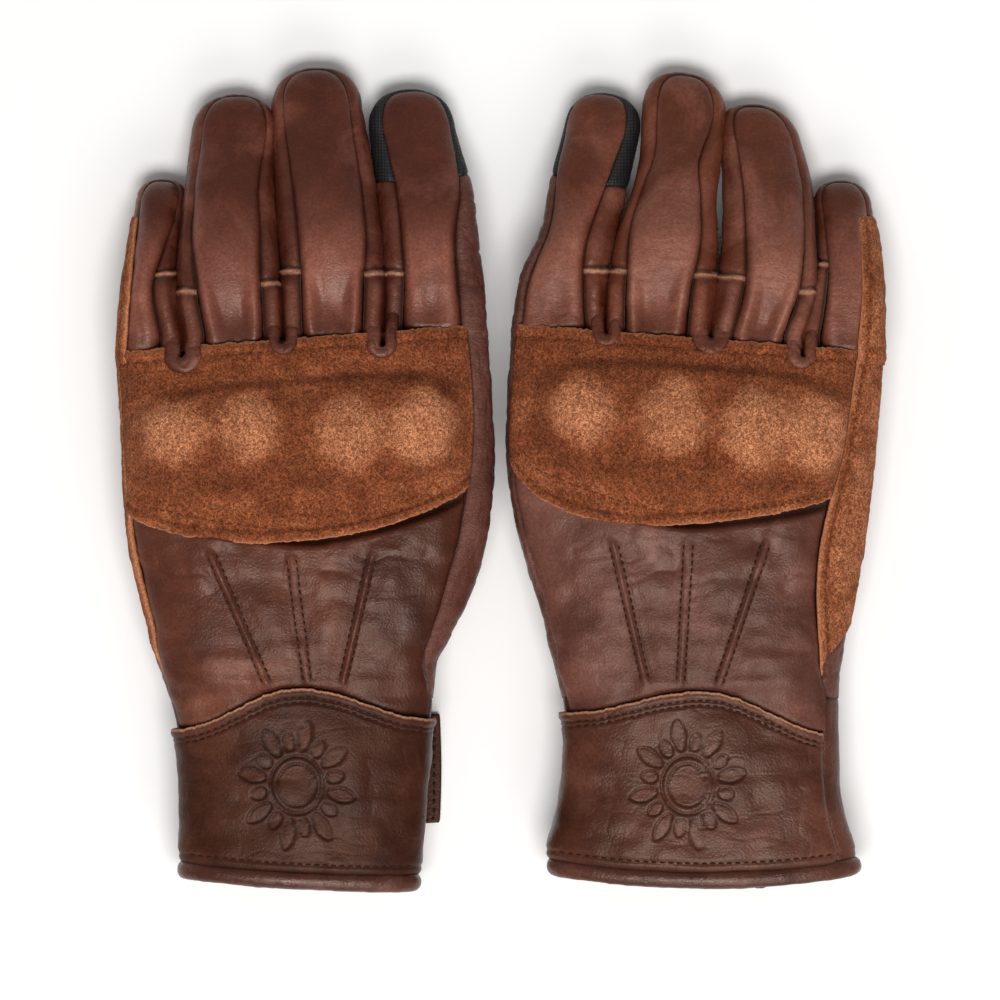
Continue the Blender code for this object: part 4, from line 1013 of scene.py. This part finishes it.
def make_piping(side):
    """The rolled hem round the mouth of the cuff."""
    count, loops, radius = 220, 20, 2.85
    a, b = np.meshgrid(np.arange(count) / count, np.arange(loops) / loops, indexing="ij")
    angle, turn = 2 * math.pi * a, 2 * math.pi * b
    share = power_cos(angle, np.where(np.sin(angle) > 0, TOP_POWER, BASE_POWER))
    rim = np.full_like(a, -117.0)
    spine = hand_point(side, rim, angle, -1.1)
    centre, _, widest, _, _ = hand_section(side, rim)
    out = np.stack([spine[..., 0] - centre, np.zeros_like(a), (spine[..., 2] - widest) * 1.6], axis=-1)
    out /= np.maximum(np.linalg.norm(out, axis=-1, keepdims=True), 1e-6)
    p = np.stack([spine[..., 0] + out[..., 0] * radius * np.cos(turn),
                  hem_line(side, share) + radius * 1.05 * np.sin(turn),
                  spine[..., 2] + out[..., 2] * radius * np.cos(turn)], axis=-1)
    middle = p.mean(axis=1, keepdims=True)
    n = (p - middle) / np.linalg.norm(p - middle, axis=-1, keepdims=True)
    folds = noise(p, (2.6, 9, 2.6), 97) * 0.14 + noise(p, 9, 98) * 0.22 - 0.1 * creases(p, (2.4, 9, 2.4), 99, 3)
    upper = np.clip(np.sin(turn), 0, 1) ** 8
    p = p + n * (folds - 0.3 * upper)[..., None]
    index = np.arange(count * loops).reshape(count, loops)
    right, up = np.roll(index, -1, 0), np.roll(index, -1, 1)
    faces = np.stack([index, right, np.roll(right, -1, 1), up], -1).reshape(-1, 4)
    points = to_world(side, p.reshape(-1, 3))
    away = points - to_world(side, np.broadcast_to(middle, p.shape).reshape(-1, 3))
    # Darker on the side that tucks under the cuff's hem: painted shade.
    marks = {"groove": (0.9 * upper).ravel(), "tone": (0.15 * noise(p, 9, 94)).ravel(), "raw": np.zeros(len(points)),
             "fold": np.full(len(points), 0.3), "rest": points}
    obj = make_object(side + "_piping", points, face_outward(points, faces, away[faces[:, 0]]), marks, PIPING)
    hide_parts(side + "_cuff_piping")
    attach(obj, side + "_hand")


def finger_row(side, name, column, v):
    """u of a seam or an edge of a finger at v."""
    return along(FINGERS[side][name][2], v, column)


def make_gusset(side, name):
    """A rolled leather U round the crotch between two fingers. It lies over the suede's edge, and its arms run up
    into the fingers' side walls."""
    low, slot_low, slot_high, high, bottom = CROTCHES[side][name]
    thumb_finger, little_finger = name.split("_")
    middle = (slot_low + slot_high) / 2
    thick = (slot_low - low + high - slot_high) / 4
    spine = (high + slot_high - low - slot_low) / 4
    bend_v = bottom + thick * 0.95 + spine
    run = max(knuckle_line(middle) + 8.0, bend_v + 5.0) - bend_v  # length of an arm

    def base(a, b):
        arm = run / (2 * run + math.pi * 3.6)
        turn = math.pi * np.clip((a - arm) / (1 - 2 * arm), 0, 1)
        x, y = -np.cos(turn), -np.sin(turn)
        toward = smooth((x + 1) / 2)
        ahead = np.where(a < arm, 1 - a / arm, np.where(a > 1 - arm, (a - 1 + arm) / arm, 0)) * run
        follow = smooth(ahead / run * 1.2)
        v = bend_v + ahead
        outer_low = lerp(low, finger_row(side, little_finger, 3, v), follow)
        inner_low = lerp(slot_low, finger_row(side, little_finger, 4, v) - 0.2, follow)
        inner_high = lerp(slot_high, finger_row(side, thumb_finger, 1, v) + 0.2, follow)
        outer_high = lerp(high, finger_row(side, thumb_finger, 2, v), follow)
        half = lerp((inner_low - outer_low) / 2, (outer_high - inner_high) / 2, toward)
        reach = lerp(middle - (inner_low + outer_low) / 2, (inner_high + outer_high) / 2 - middle, toward)
        round_b = lerp(-1.25, 1.0, b)
        swing = np.clip(round_b * math.pi / 2, -math.pi / 2, math.pi / 2)
        level = np.sin(swing)
        u = middle + x * (reach + level * half)
        v = v + KNUCKLE_SLOPE * reach * x + y * (reach + level * half)
        top = hand_top(side, u, np.minimum(v, HAND_END))
        near_end = smooth((ahead - run + 5.0) / 5.0)
        crown = lerp(top - 0.9, top + 2.1, smooth((knuckle_line(u) + 5.0 - v) / 9.0)) - 2.6 * near_end
        below = np.maximum(0, -round_b - 1) * 16 * math.pi / 2
        return np.stack([u, v, crown - 2.9 * (1 - np.cos(swing) ** 0.75) - below], axis=-1)

    def relief(p, d):
        rise = 0.16 * noise(p, 4, 65) - 0.3 * creases(p, (3.5, 2.4, 4), 66, 3)
        # Darker down the skirt into the slot and along the outer edge: painted shade.
        return rise, {"groove": 0.9 * np.exp(-d["b0"] / 2.0) + 0.6 * np.exp(-d["b1"] / 0.6),
                      "tone": 0.15 * noise(p, 5, 67) + 0.1, "fold": 0.4}

    def core(p):
        return np.stack([p[..., 0], p[..., 1], p[..., 2] * 0 + 15], axis=-1)

    hand_skin(side, name + "_gusset", "crotch_" + name, base, (90, 30), relief, FINGER[side], "leather", 1.0, core=core)


# --- fingers ----------------------------------------------------------------------------------------


class Finger:
    """A finger's shape. x runs across it towards the thumb, s from the knuckle line to the fingertip."""

    def __init__(self, side, name):
        base_u, (tip_u, tip_v), rows = FINGERS[side][name]
        self.side, self.name = side, name
        self.base = (base_u, knuckle_line(base_u))
        across, ahead = tip_u - base_u, tip_v - self.base[1]
        self.length, self.lean = math.hypot(across, ahead), math.atan2(across, ahead)
        self.sin, self.cos, tan = math.sin(self.lean), math.cos(self.lean), math.tan(self.lean)
        self.rows = [((v - self.base[1]) / self.cos,
                      *((u - base_u - (v - self.base[1]) * tan) * self.cos for u in line)) for v, *line in rows]
        self.round = float(self.half(self.rows[-2][0])) * 0.97
        self.straight = self.length - self.round
        self.tip_half = float(self.half(self.straight))
        self.base_half_height = float(hand_top(side, base_u, self.base[1]) - PALM_Z) / 2
        self.seed = {"index": 100, "middle": 120, "ring": 140, "little": 160}[name] + (7 if side == "right" else 0)

    def half(self, s):
        return (along(self.rows, s, 4) - along(self.rows, s, 1)) / 2

    def centre(self, s):
        return (along(self.rows, s, 4) + along(self.rows, s, 1)) / 2

    def seam(self, thumb_side, s):
        """Share of the half width at which the back strip's seam lies."""
        return np.abs(along(self.rows, s, 3 if thumb_side else 2) - self.centre(s)) / self.half(s)

    def heights(self, s):
        t = np.clip(s / self.straight, 0, 1)
        half = lerp(self.base_half_height, TIP_HALF_HEIGHT, t)
        arch = 4.2 * np.sin(math.pi * t**0.85) ** 1.4
        return lerp(PALM_Z, TIP_BASE_Z, t) + half + arch, half

    def power(self, s):
        return lerp(FOOT_POWER, TIP_POWER, smooth(s / 30))

    def place(self, x, s, z):
        x = x + self.centre(s)
        return np.stack([self.base[0] + s * self.sin + x * self.cos, self.base[1] + s * self.cos - x * self.sin,
                         np.broadcast_to(z, np.shape(s))], axis=-1)

    def start(self, x):
        """s of the knuckle line at x."""
        return x * (self.sin + KNUCKLE_SLOPE * self.cos) / (self.cos - KNUCKLE_SLOPE * self.sin)

    def s_of(self, p):
        return (p[..., 1] - self.base[1]) / self.cos

    def core(self, p):
        s = np.minimum(self.s_of(p), self.straight)
        return self.place(np.zeros_like(s), s, self.heights(s)[0])

    def strip(self, a, b, low, high, tip_share, upper, under=0.0):
        """A strip with a round end: a across, b from foot to tip. low and high give its edges as shares."""
        q = np.sin(math.pi / 2 * (2 * a - 1))
        s = np.zeros_like(a)
        for _ in range(2):
            edge = np.where(q > 0, high(s), low(s))
            foot = self.start(q * edge * self.half(0)) - under
            bow = tip_share * self.round * rounded(q, SEAM_PLAN)
            s = lerp(foot, self.straight, b) + bow * b**4
        beyond = np.maximum(0, s - self.straight) / self.round
        s = np.minimum(s, self.straight)
        share = q * np.where(q > 0, high(s), low(s))
        middle, half = self.heights(s)
        norm = (np.abs(share) ** TIP_PLAN + beyond**TIP_PLAN) ** (1 / TIP_PLAN)
        lift = rounded(norm, self.power(s)) * (half - (TIP_DROP * beyond if upper else 0))
        return self.place(share * self.half(s), s + beyond * self.round, middle + (lift if upper else -lift))

    def band(self, a, b, low_angle, first=None):
        """The side wall: a runs from one foot round the tip to the other, b down from the upper seam."""
        quarter = math.pi * self.tip_half / 2
        lead = self.straight - (first or 0)
        k = (2 * a - 1) * (lead + quarter)
        turn = np.clip(k / quarter, -1, 1) * math.pi / 2
        back = np.maximum(0, np.abs(k) - quarter) / lead
        foot = np.full_like(a, float(first or 0))
        for _ in range(2):
            s = lerp(self.straight, foot, back)
            side_share = np.where(turn > 0, self.seam(True, s), self.seam(False, s))
            at_tip = np.where(turn > 0, self.seam(True, self.straight), self.seam(False, self.straight))
            tip_share = TIP_SEAM + (side_share - at_tip)
            across, ahead = power_sin(turn, TIP_PLAN), power_cos(turn, TIP_PLAN)
            rim = ((np.abs(across) / side_share) ** SEAM_PLAN
                   + (ahead / np.maximum(tip_share, 0.2)) ** SEAM_PLAN) ** (-1 / SEAM_PLAN)
            angle = lerp(angle_at(rim, self.power(s)), low_angle, b)
            away = power_cos(angle, self.power(s))
            if first is None:
                foot = self.start(np.sign(k) * away * self.half(0))
        middle, half = self.heights(s)
        lift = power_sin(angle, self.power(s))
        return self.place(away * across * self.half(s), s + away * ahead * self.round,
                          middle + half * lift - TIP_DROP * away * ahead * np.maximum(lift, 0))

    def wall(self, a, b, start, end, last, under=0.0):
        """Round the section from one angle to another (a), from the foot to s = last (b)."""
        s = np.zeros_like(a)
        for _ in range(2):
            angle = lerp(start(s), end(s), a)
            x = power_cos(angle, self.power(0)) * self.half(0)
            s = lerp(self.start(x) - under, last, b)
        angle = lerp(start(s), end(s), a)
        middle, half = self.heights(s)
        return self.place(power_cos(angle, self.power(s)) * self.half(s), s,
                          middle + half * power_sin(angle, self.power(s)))

    def body(self, p):
        """1 along the finger, less over its tip, where the seams lie flatter."""
        return 1 - 0.6 * smooth((self.s_of(p) - self.straight + 5) / 9)

    def dress(self, part, node, base, counts, relief, material, slot="leather", thickness=SKIN):
        """A skin for the finger. node names the CAD piece that it stands for, if any."""
        name = f"{self.side}_{self.name}_"
        obj = skin(name + part, self.side, base, *counts, relief, material, slot, self.core, thickness)
        if node:
            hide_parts(name + node)
        line = [(self.base[0] + s * self.sin, self.base[1] + s * self.cos, PALM_Z) for s in BLEND]
        start, end = (tuple(point) for point in to_world(self.side, line))
        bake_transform(obj)


def below_suede(finger, p, rise):
    """Sinks the little finger's leather where the suede strip lies over it."""
    if finger.name != "little":
        return rise
    inside = along(SUEDE_INNER[finger.side], p[..., 1], 1) - p[..., 0]
    return lerp(rise, -0.75, smooth((inside + 0.5) / 1.1) * smooth((SUEDE_TOP_V + 0.2 - p[..., 1]) / 1.4))


def finger_folds(finger, p):
    """Where a finger's leather is finely wrinkled across, stronger on the right glove."""
    v = p[..., 1]
    if finger.name in ("middle", "ring"):
        zone = bell(v - 60, 12) * 0.6 + bell(v - 88, 17)
    else:
        zone = 0.8 * bell(v - 55, 14)
    patches = 0.55 + 0.45 * noise(p, (9, 7, 9), finger.seed + 17)
    return 0.08 + zone * patches * (0.12 if finger.side == "left" else 1.0)


def make_finger_back(finger):
    def base(a, b):
        return finger.strip(a, b, lambda s: finger.seam(False, s), lambda s: finger.seam(True, s), TIP_SEAM, True, TUCK)

    def relief(p, d):
        sides = d["a"]
        seam = np.minimum(sides, d["b1"])
        folds = finger_folds(finger, p)
        s = finger.s_of(p)
        body = finger.body(p)
        rise = (seam_dip(seam, 0.8) + pillow(seam, 2.0, 3.2) - 1.3) * body
        rise += leather_relief(p, finger.seed, 0.42, 0.05, (8, 3, 5)) * body
        rise -= 0.35 * (folds - 0.08) * creases(p, (11, 2.6, 6), finger.seed + 9, 3)
        if finger.name in ("middle", "ring"):
            rise -= 2.6 * bell(s - 8, 9) * smooth((sides - 2.6) / 5)
            rise += 1.1 * bell(s - 13, 11) * bell(sides - 3.3, 1.7)
        else:
            rise -= 1.3 * bell(s - 8, 8) * smooth((sides - 3) / 6)
        rise += 0.7 * noise(p, (7, 9, 7), finger.seed + 4) * bell(s - 7, 7)
        rise += 0.8 * bell(s - 31, 9) * smooth(sides / 8)
        rise -= 1.3 * (1 - smooth((s + 1.5) / 3.5))
        # Besides random tone, a painted highlight: a broad lighter zone along the middle of the finger and two lighter
        # ridges beside its seams near the foot.
        tone = (0.16 * noise(p, 14, finger.seed + 5) - 0.08 + 0.62 * bell(s - 24, 15) * smooth(sides / 4)
                + 0.45 * bell(s - 14, 10) * bell(sides - 3.4, 1.7) + 0.12 * bell(s - 6, 7))
        # Dark at the foot, where the strip runs under the knuckle cover: painted shade.
        groove = np.maximum(seam_shade(seam), 0.75 * (1 - smooth((s + 0.4) / 1.4)))
        return below_suede(finger, p, rise), {"groove": groove, "tone": tone, "fold": folds}

    finger.dress("strip", "back", base, (52, 130), relief, FINGER[finger.side])


def cross_relief(finger, p, toward_thumb):
    """The seam across a fourchette: a raised raw lip over a dip, with the lower piece rolled and fuller."""
    at = CROSS_SEAM_V[finger.side][finger.name][1 if toward_thumb else 0]
    if at is None:
        return (np.zeros(p.shape[:-1]),) * 3
    gap = p[..., 1] - at + 0.25 * noise(p, 2.2, finger.seed + 15)
    rise = 0.8 * bell(gap, 0.55) - 0.5 * bell(gap - 1.4, 0.8) + 0.9 * smooth(-gap / 2.5)
    # The last value darkens the dip beyond the raised lip: painted shade.
    return rise, np.clip(1.5 * bell(gap, 0.5), 0, 1), 0.8 * bell(gap - 1.3, 0.5)


def side_relief(finger, p, d_seam, d_low):
    body = finger.body(p)
    rise = (seam_dip(d_seam, 0.8) + pillow(d_seam, 1.3, 1.8) - 0.95) * body + 0.2 * (1 - body) + seam_dip(d_low, 0.7)
    rise += leather_relief(p, finger.seed + 11, 0.22, 0.25, (4, 3, 5))
    thumb_side = p[..., 0] > finger.core(p)[..., 0]
    lift, raw, dark = (np.where(thumb_side, at_thumb, at_little) for at_thumb, at_little
                       in zip(cross_relief(finger, p, True), cross_relief(finger, p, False)))
    visible = smooth((p[..., 2] - 14) / 4)
    rise = rise + lift * visible
    lower = smooth((60 - p[..., 1]) / 3)
    rise = rise + 0.9 * lower * bell(d_seam - 2.8, 2.0)
    # Lighter along the crown of the rolled lower wall: a painted highlight.
    tone = 0.18 * noise(p, 8, finger.seed + 13) + 0.25 * lower * bell(d_seam - 2.4, 1.6)
    groove = np.maximum(np.maximum(seam_shade(d_seam), seam_shade(d_low)), dark * visible)
    return below_suede(finger, p, rise), {"groove": groove, "tone": tone, "raw": raw * visible, "fold": 0.2}


def make_plain_finger(finger):
    finish = WARM if (finger.side, finger.name) == ("right", "middle") else FINGER[finger.side]
    finger.dress("fourchette", "side", lambda a, b: finger.band(a, b, -PALM_ANGLE), (240, 26),
                 lambda p, d: side_relief(finger, p, d["b0"], d["b1"]), finish)

    def relief(p, d):
        seam = np.minimum(d["a"], d["b1"])
        rise = seam_dip(seam, 0.7) + leather_relief(p, finger.seed + 21, 0.22, 0.25, (7, 3, 5))
        return rise, {"groove": seam_shade(seam), "tone": 0.12 * noise(p, 9, 27), "fold": 0.7}

    share = lambda s: np.full(np.shape(s), PALM_SEAM)
    finger.dress("palm_strip", "front", lambda a, b: finger.strip(a, b, share, share, PALM_SEAM, False), (26, 70),
                 relief, PALM)


def make_index_finger(finger):
    touch = finger.length - TOUCH_LENGTH

    def seam_angle(thumb_side, s):
        angle = angle_at(finger.seam(thumb_side, s), finger.power(s))
        return angle if thumb_side else math.pi - angle

    def side_wall(p, d):
        rise, marks = side_relief(finger, p, d["a0"], d["a1"])
        marks["groove"] = np.maximum(marks["groove"], seam_shade(d["b1"]))
        return rise + seam_dip(d["b1"], 0.6), marks

    finger.dress("fourchette", "side", lambda a, b: finger.wall(a, b, lambda s: seam_angle(False, s),
                                                                lambda s: math.pi + PALM_ANGLE + s * 0, touch),
                 (34, 90), side_wall, FINGER[finger.side])

    def wrap(p, d):
        seam = d["a"]
        rise = seam_dip(seam, 0.9) + pillow(seam, 0.6, 2) - 0.3
        rise += leather_relief(p, finger.seed + 31, 0.3, 0.2, (5, 2.4, 5))
        rise -= 0.4 * creases(p, (8, 2.4, 6), finger.seed + 33, 3)
        return rise + seam_dip(d["b1"], 0.6), {"groove": np.maximum(seam_shade(seam), seam_shade(d["b1"])),
                                               "tone": 0.15 * noise(p, 9, 37), "fold": 1.0}

    finger.dress("wrap", "front", lambda a, b: finger.wall(a, b, lambda s: seam_angle(True, s),
                                                           lambda s: PALM_ANGLE - math.pi + s * 0, touch, TUCK / 2),
                 (80, 90), wrap, PALM)

    def knit(p, d):
        rise = seam_dip(d["b0"], 0.8) + 0.06 * noise(p, 1.2, 38)
        return rise + seam_dip(d["a"], 0.5), {}

    finger.dress("touch_cap", "touch_tip", lambda a, b: finger.band(a, b, -math.pi / 2, touch), (110, 50), knit,
                 TOUCH, "touch_fabric")


def make_finger_suede(finger):
    """The side strip runs on over the little finger, on top of its wall."""
    def start(s):
        v = finger.base[1] + s * finger.cos
        x = along(SUEDE_INNER[finger.side], v, 1) - finger.base[0] - s * finger.sin
        share = np.clip(np.abs(x - finger.centre(s)) / finger.half(s), 0.2, 0.985)
        return math.pi - angle_at(share, finger.power(s))

    def relief(p, d):
        rise, marks = strip_relief(p, d["a0"], d["a1"], d["b1"])
        marks["raw"] = np.maximum(marks["raw"], np.clip(np.exp(-d["b1"] / 0.5), 0, 1))
        return rise - 0.2 - 0.7 * smooth((2.4 - d["b0"]) / 2.4), marks

    last = (SUEDE_TOP_V - finger.base[1]) / finger.cos
    finger.dress("suede", None,
                 lambda a, b: finger.wall(a, b, start, lambda s: math.pi + PALM_ANGLE + s * 0, last, TUCK), (40, 70),
                 relief, SUEDE, "suede", 1.2)


# --- thumb and strap --------------------------------------------------------------------------------


def make_thumb(side):
    across, ahead = THUMB_TIP[0] - THUMB_PIVOT[0], THUMB_TIP[1] - THUMB_PIVOT[1]
    length, lean = math.hypot(across, ahead), math.atan2(across, ahead)
    base_w, middle_w, tip_w = THUMB_WIDTHS
    middle, half = sum(THUMB_Z) / 2, (THUMB_Z[1] - THUMB_Z[0]) / 2

    def shell(sign):
        def base(a, b):
            q = np.sin(math.pi / 2 * (2 * a - 1))
            reach = np.sqrt(np.maximum(0, 1 - q * q))
            s = lerp(-base_w * reach, length + tip_w * reach, b)
            t = np.clip(s / length, 0, 1)
            width = np.where(t < 0.5, lerp(base_w, middle_w, 2 * t), lerp(middle_w, tip_w, 2 * t - 1))
            beyond = np.maximum(s - length, 0) / tip_w + np.maximum(-s, 0) / base_w
            lift = half * rounded(np.hypot(q, beyond) * 0.999, 2.6)
            x = q * width * 0.995
            return np.stack([THUMB_PIVOT[0] + s * math.sin(lean) + x * math.cos(lean),
                             THUMB_PIVOT[1] + s * math.cos(lean) - x * math.sin(lean),
                             middle + sign * (lift + 0.1)], axis=-1)
        return base

    def core(p):
        return np.stack([p[..., 0] * 0.9 + 0.1 * 20, p[..., 1], p[..., 2] * 0 + middle], axis=-1)

    def relief(p, d):
        seam = d["a"]
        away = smooth(seam / 3)
        rise = -0.5 * np.exp(-seam / 0.8) + (leather_relief(p, 201, 0.2, 0.2, (6, 3, 5)) - 0.25) * away
        return rise, {"groove": seam_shade(seam), "tone": 0.12 * noise(p, 9, 203), "fold": 0.5}

    for sign, part, finish in ((1, "front", PALM), (-1, "back", FINGER[side])):
        obj = skin(f"{side}_thumb_{part}_leather", side, shell(sign), 44, 90, relief, finish, "leather", core, 0.9)
        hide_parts(f"{side}_thumb_{part}")
        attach(obj, side + "_thumb")


def slab(side, name, node, body, low, high, z_low, z_high, radius, material):
    """A rounded flat piece such as a strap or a pad, with softened edges."""
    edge = 96
    turn = np.linspace(0, 2 * math.pi, edge, endpoint=False)
    cu, cv = (low[0] + high[0]) / 2, (low[1] + high[1]) / 2
    hu, hv = (high[0] - low[0]) / 2, (high[1] - low[1]) / 2
    c, s = np.cos(turn), np.sin(turn)
    stretch = 1 / np.maximum(np.abs(c) / hu, np.abs(s) / hv)
    thick = z_high - z_low
    bevel = min(0.5, thick * 0.35)
    under = [(hu * 0.85, 0.0), (6.0, 0.0), (2.4, 0.0), (1.2, 0.0), (bevel, 0.0), (bevel * 0.3, bevel * 0.3),
             (0.0, bevel)]
    rings = []
    for shrink, height in under + [(shrink, thick - height) for shrink, height in reversed(under)]:
        out = radius - min(shrink, radius)
        pull = 1 - max(shrink - radius, 0) / hu
        x = (np.clip(c * stretch, -(hu - radius), hu - radius) + out * c) * pull
        y = (np.clip(s * stretch, -(hv - radius), hv - radius) + out * s) * pull
        rings.append(np.stack([cu + x, cv + y, np.full(edge, z_low + height)], axis=-1))
    wrap = np.arange(len(rings) - 1) * edge
    seam = np.stack([wrap + edge - 1, wrap + 2 * edge - 1, wrap + edge, wrap], -1)
    corner_at = round(math.atan2(hv, hu) / (2 * math.pi) * edge)  # the cap's quads run from corner to corner
    fan = (np.array([(k, k + 1, edge - 2 - k, edge - 1 - k) for k in range(edge // 2 - 1)]) + corner_at) % edge
    faces = np.concatenate([quads(len(rings), edge), seam, fan, fan[:, ::-1] + (len(rings) - 1) * edge])
    points = to_world(side, np.concatenate(rings))
    faces = face_outward(points, faces, points[faces[:, 0]] - points.mean(0))
    flat = np.zeros(len(points))
    marks = {"rest": points, "tone": flat, "groove": flat, "raw": flat, "fold": flat}
    obj = make_object(f"{side}_{name}", points, faces, marks, material)
    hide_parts(f"{side}_{node}")
    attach(obj, f"{side}_{body}")
    return obj


def make_strap(side):
    sewn, free = STRAP[side]
    low, high = STRAP_V
    hook_free = min(free, HOOK_EDGE) - 3
    strap = slab(side, "strap_leather", "wrist_strap", "strap", (sewn, low), (free, high), 0.15, 1.8, 4.0,
                 CUFF[side])
    slab(side, "hook_tape", "hook_pad", "strap", (hook_free - 22, low + 4), (hook_free, high - 4), 2.1, 3.0, 2.0,
         HOOKS)
    slab(side, "loop_tape", "loop_pad", "hand", (hook_free - 36, low + 3), (hook_free - 1, high - 3), 3.3, 4.2, 2.0,
         HOOKS)
    left, right, near, far = sewn + STRAP_ROW, free - STRAP_ROW, low + STRAP_ROW, high - STRAP_ROW
    box = [(left, near), (right, near), (right, far), (left, far), (left, near)]
    surface = surface_of(strap)
    for below, part in ((True, "under"), (False, "upper")):
        sew(f"{side}_strap_stitches_{part}", side + "_strap", row_of_stitches(surface, side, box, below=below), 0.42)


# --- one glove --------------------------------------------------------------------------------------


def edge_path(side, line, shares, inset):
    """Points (u, v) along a line given as v at shares of the half width, moved towards +v by inset."""
    path = []
    for share in shares:
        v = float(line(side, np.array(share))) + inset
        centre, half, *_ = hand_section(side, v)
        path.append((float(centre + share * half), v))
    return path


def make_stitches(side, back, cover, cuff, strip):
    hand, surface, rows = side + "_hand", surface_of(back), []
    for start, end in DARTS[side]:
        line = np.subtract(end, start)
        across = np.array([line[1], -line[0]]) / np.linalg.norm(line) * 1.35
        for sign in (1, -1):
            rows += row_of_stitches(surface, side, [start + sign * across, end + sign * across * 0.9], *FINE)
    sew(side + "_dart_stitches", hand, rows, 0.3)

    surface = surface_of(cover)
    lower = edge_path(side, cover_edge, np.linspace(-0.93, 0.86, 60), COVER_ROW)
    rows = row_of_stitches(surface, side, lower, *MEDIUM)
    runs = [[]]
    for u in np.linspace(*COVER_TOP_ROW[side], 80):
        if any(low - 0.6 < u < high + 0.6 for low, _, _, high, _ in CROTCHES[side].values()):
            runs.append([])
        else:
            runs[-1].append((u, knuckle_line(u) - 3.2))
    for run in runs:
        if len(run) > 2:
            rows += row_of_stitches(surface, side, run, *MEDIUM)
    sew(side + "_cover_stitches", hand, rows, 0.3, SUEDE_THREAD)

    surface, rows = surface_of(cuff), []
    shares = np.linspace(-0.98 if side == "left" else -0.86, 0.98, 60)
    for row in CUFF_ROWS:
        rows += row_of_stitches(surface, side, edge_path(side, crest_line, shares, -row), *FINE)
    rows += row_of_stitches(surface, side, edge_path(side, hem_line, shares, CUFF_FOOT + HEM_ROW), 2.5, 1.9)
    sew(side + "_cuff_stitches", hand, rows, 0.32)

    if side == "right":
        start, end = (to_world(side, np.array([u, -122.7, 5.4])) for u in (-17.6, -22.4))
        sew("right_hem_tail", "right_hand", [(start, end, (0.0, 0.0, 1.0))], 0.95)
        path = [(float(hand_point(side, v, seam_angles(side, v)[1])[0]) - 2.5, v) for v in np.linspace(-54, 37, 60)]
        sew("right_strip_stitches", hand, row_of_stitches(surface_of(strip), side, path, *MEDIUM), 0.3, SUEDE_THREAD)


def make_glove(side):
    back, cover, _, cuff, _, strip = (make(side) for make in (make_back, make_cover, make_guard, make_cuff_back,
                                                              make_palm, make_side_strip))
    for make in (make_cuff_palm, make_lining, make_piping):
        make(side)
    for name in CROTCHES[side]:
        make_gusset(side, name)
    for name in FINGERS[side]:
        finger = Finger(side, name)
        make_finger_back(finger)
        (make_index_finger if name == "index" else make_plain_finger)(finger)
        if name == "little":
            make_finger_suede(finger)
    make_thumb(side)
    make_strap(side)
    make_stitches(side, back, cover, cuff, strip)


for side_name in SIDES:
    make_glove(side_name)


# --- floor, light and camera ------------------------------------------------------------------------


def make_floor():
    mesh = bpy.data.meshes.new("floor")
    reach, below = 4.0, -0.0004
    mesh.from_pydata([(x * reach, y * reach, below) for x, y in ((-1, -1), (1, -1), (1, 1), (-1, 1))], [],
                     [(0, 1, 2, 3)])
    floor = bpy.data.objects.new("floor", mesh)
    bpy.context.scene.collection.objects.link(floor)
    paper = bpy.data.materials.new("paper")
    paper.use_nodes = True
    shader = paper.node_tree.nodes["Principled BSDF"]
    shader.inputs["Base Color"].default_value = (0.93, 0.93, 0.93, 1)
    shader.inputs["Roughness"].default_value = 0.9
    mesh.materials.append(paper)


def add_light(name, size, energy, place, colour):
    """A soft light that looks at the origin."""
    data = bpy.data.lights.new(name, "AREA")
    data.shape = "RECTANGLE"
    data.size, data.size_y = size
    data.energy = energy
    data.color = colour
    light = bpy.data.objects.new(name, data)
    light.location = place
    light.rotation_euler = (-Vector(place)).to_track_quat("-Z", "Y").to_euler()
    bpy.context.scene.collection.objects.link(light)


def make_light():
    world = bpy.data.worlds.new("studio")
    bpy.context.scene.world = world
    world.use_nodes = True
    background = world.node_tree.nodes["Background"]
    background.inputs["Color"].default_value = (1.0, 0.99, 0.98, 1)
    background.inputs["Strength"].default_value = 0.33
    add_light("ceiling", (1.6, 1.0), 66, (0.05, -1.05, 2.7), (1.0, 0.985, 0.965))
    add_light("low_window", (1.4, 0.8), 15, (0.4, -1.9, 1.35), (1.0, 0.98, 0.96))


def make_camera():
    data = bpy.data.cameras.new("camera")
    camera = bpy.data.objects.new("camera", data)
    distance, view_width = 2.6, 0.300
    data.sensor_width = 36
    data.lens = 36 * distance / view_width
    data.clip_start, data.clip_end = 0.1, 20
    camera.location = (0.0002, -0.0064, distance + 0.022)
    bpy.context.scene.collection.objects.link(camera)
    bpy.context.scene.camera = camera


make_floor()
make_light()
make_camera()
bpy.context.scene.view_settings.view_transform = "Standard"
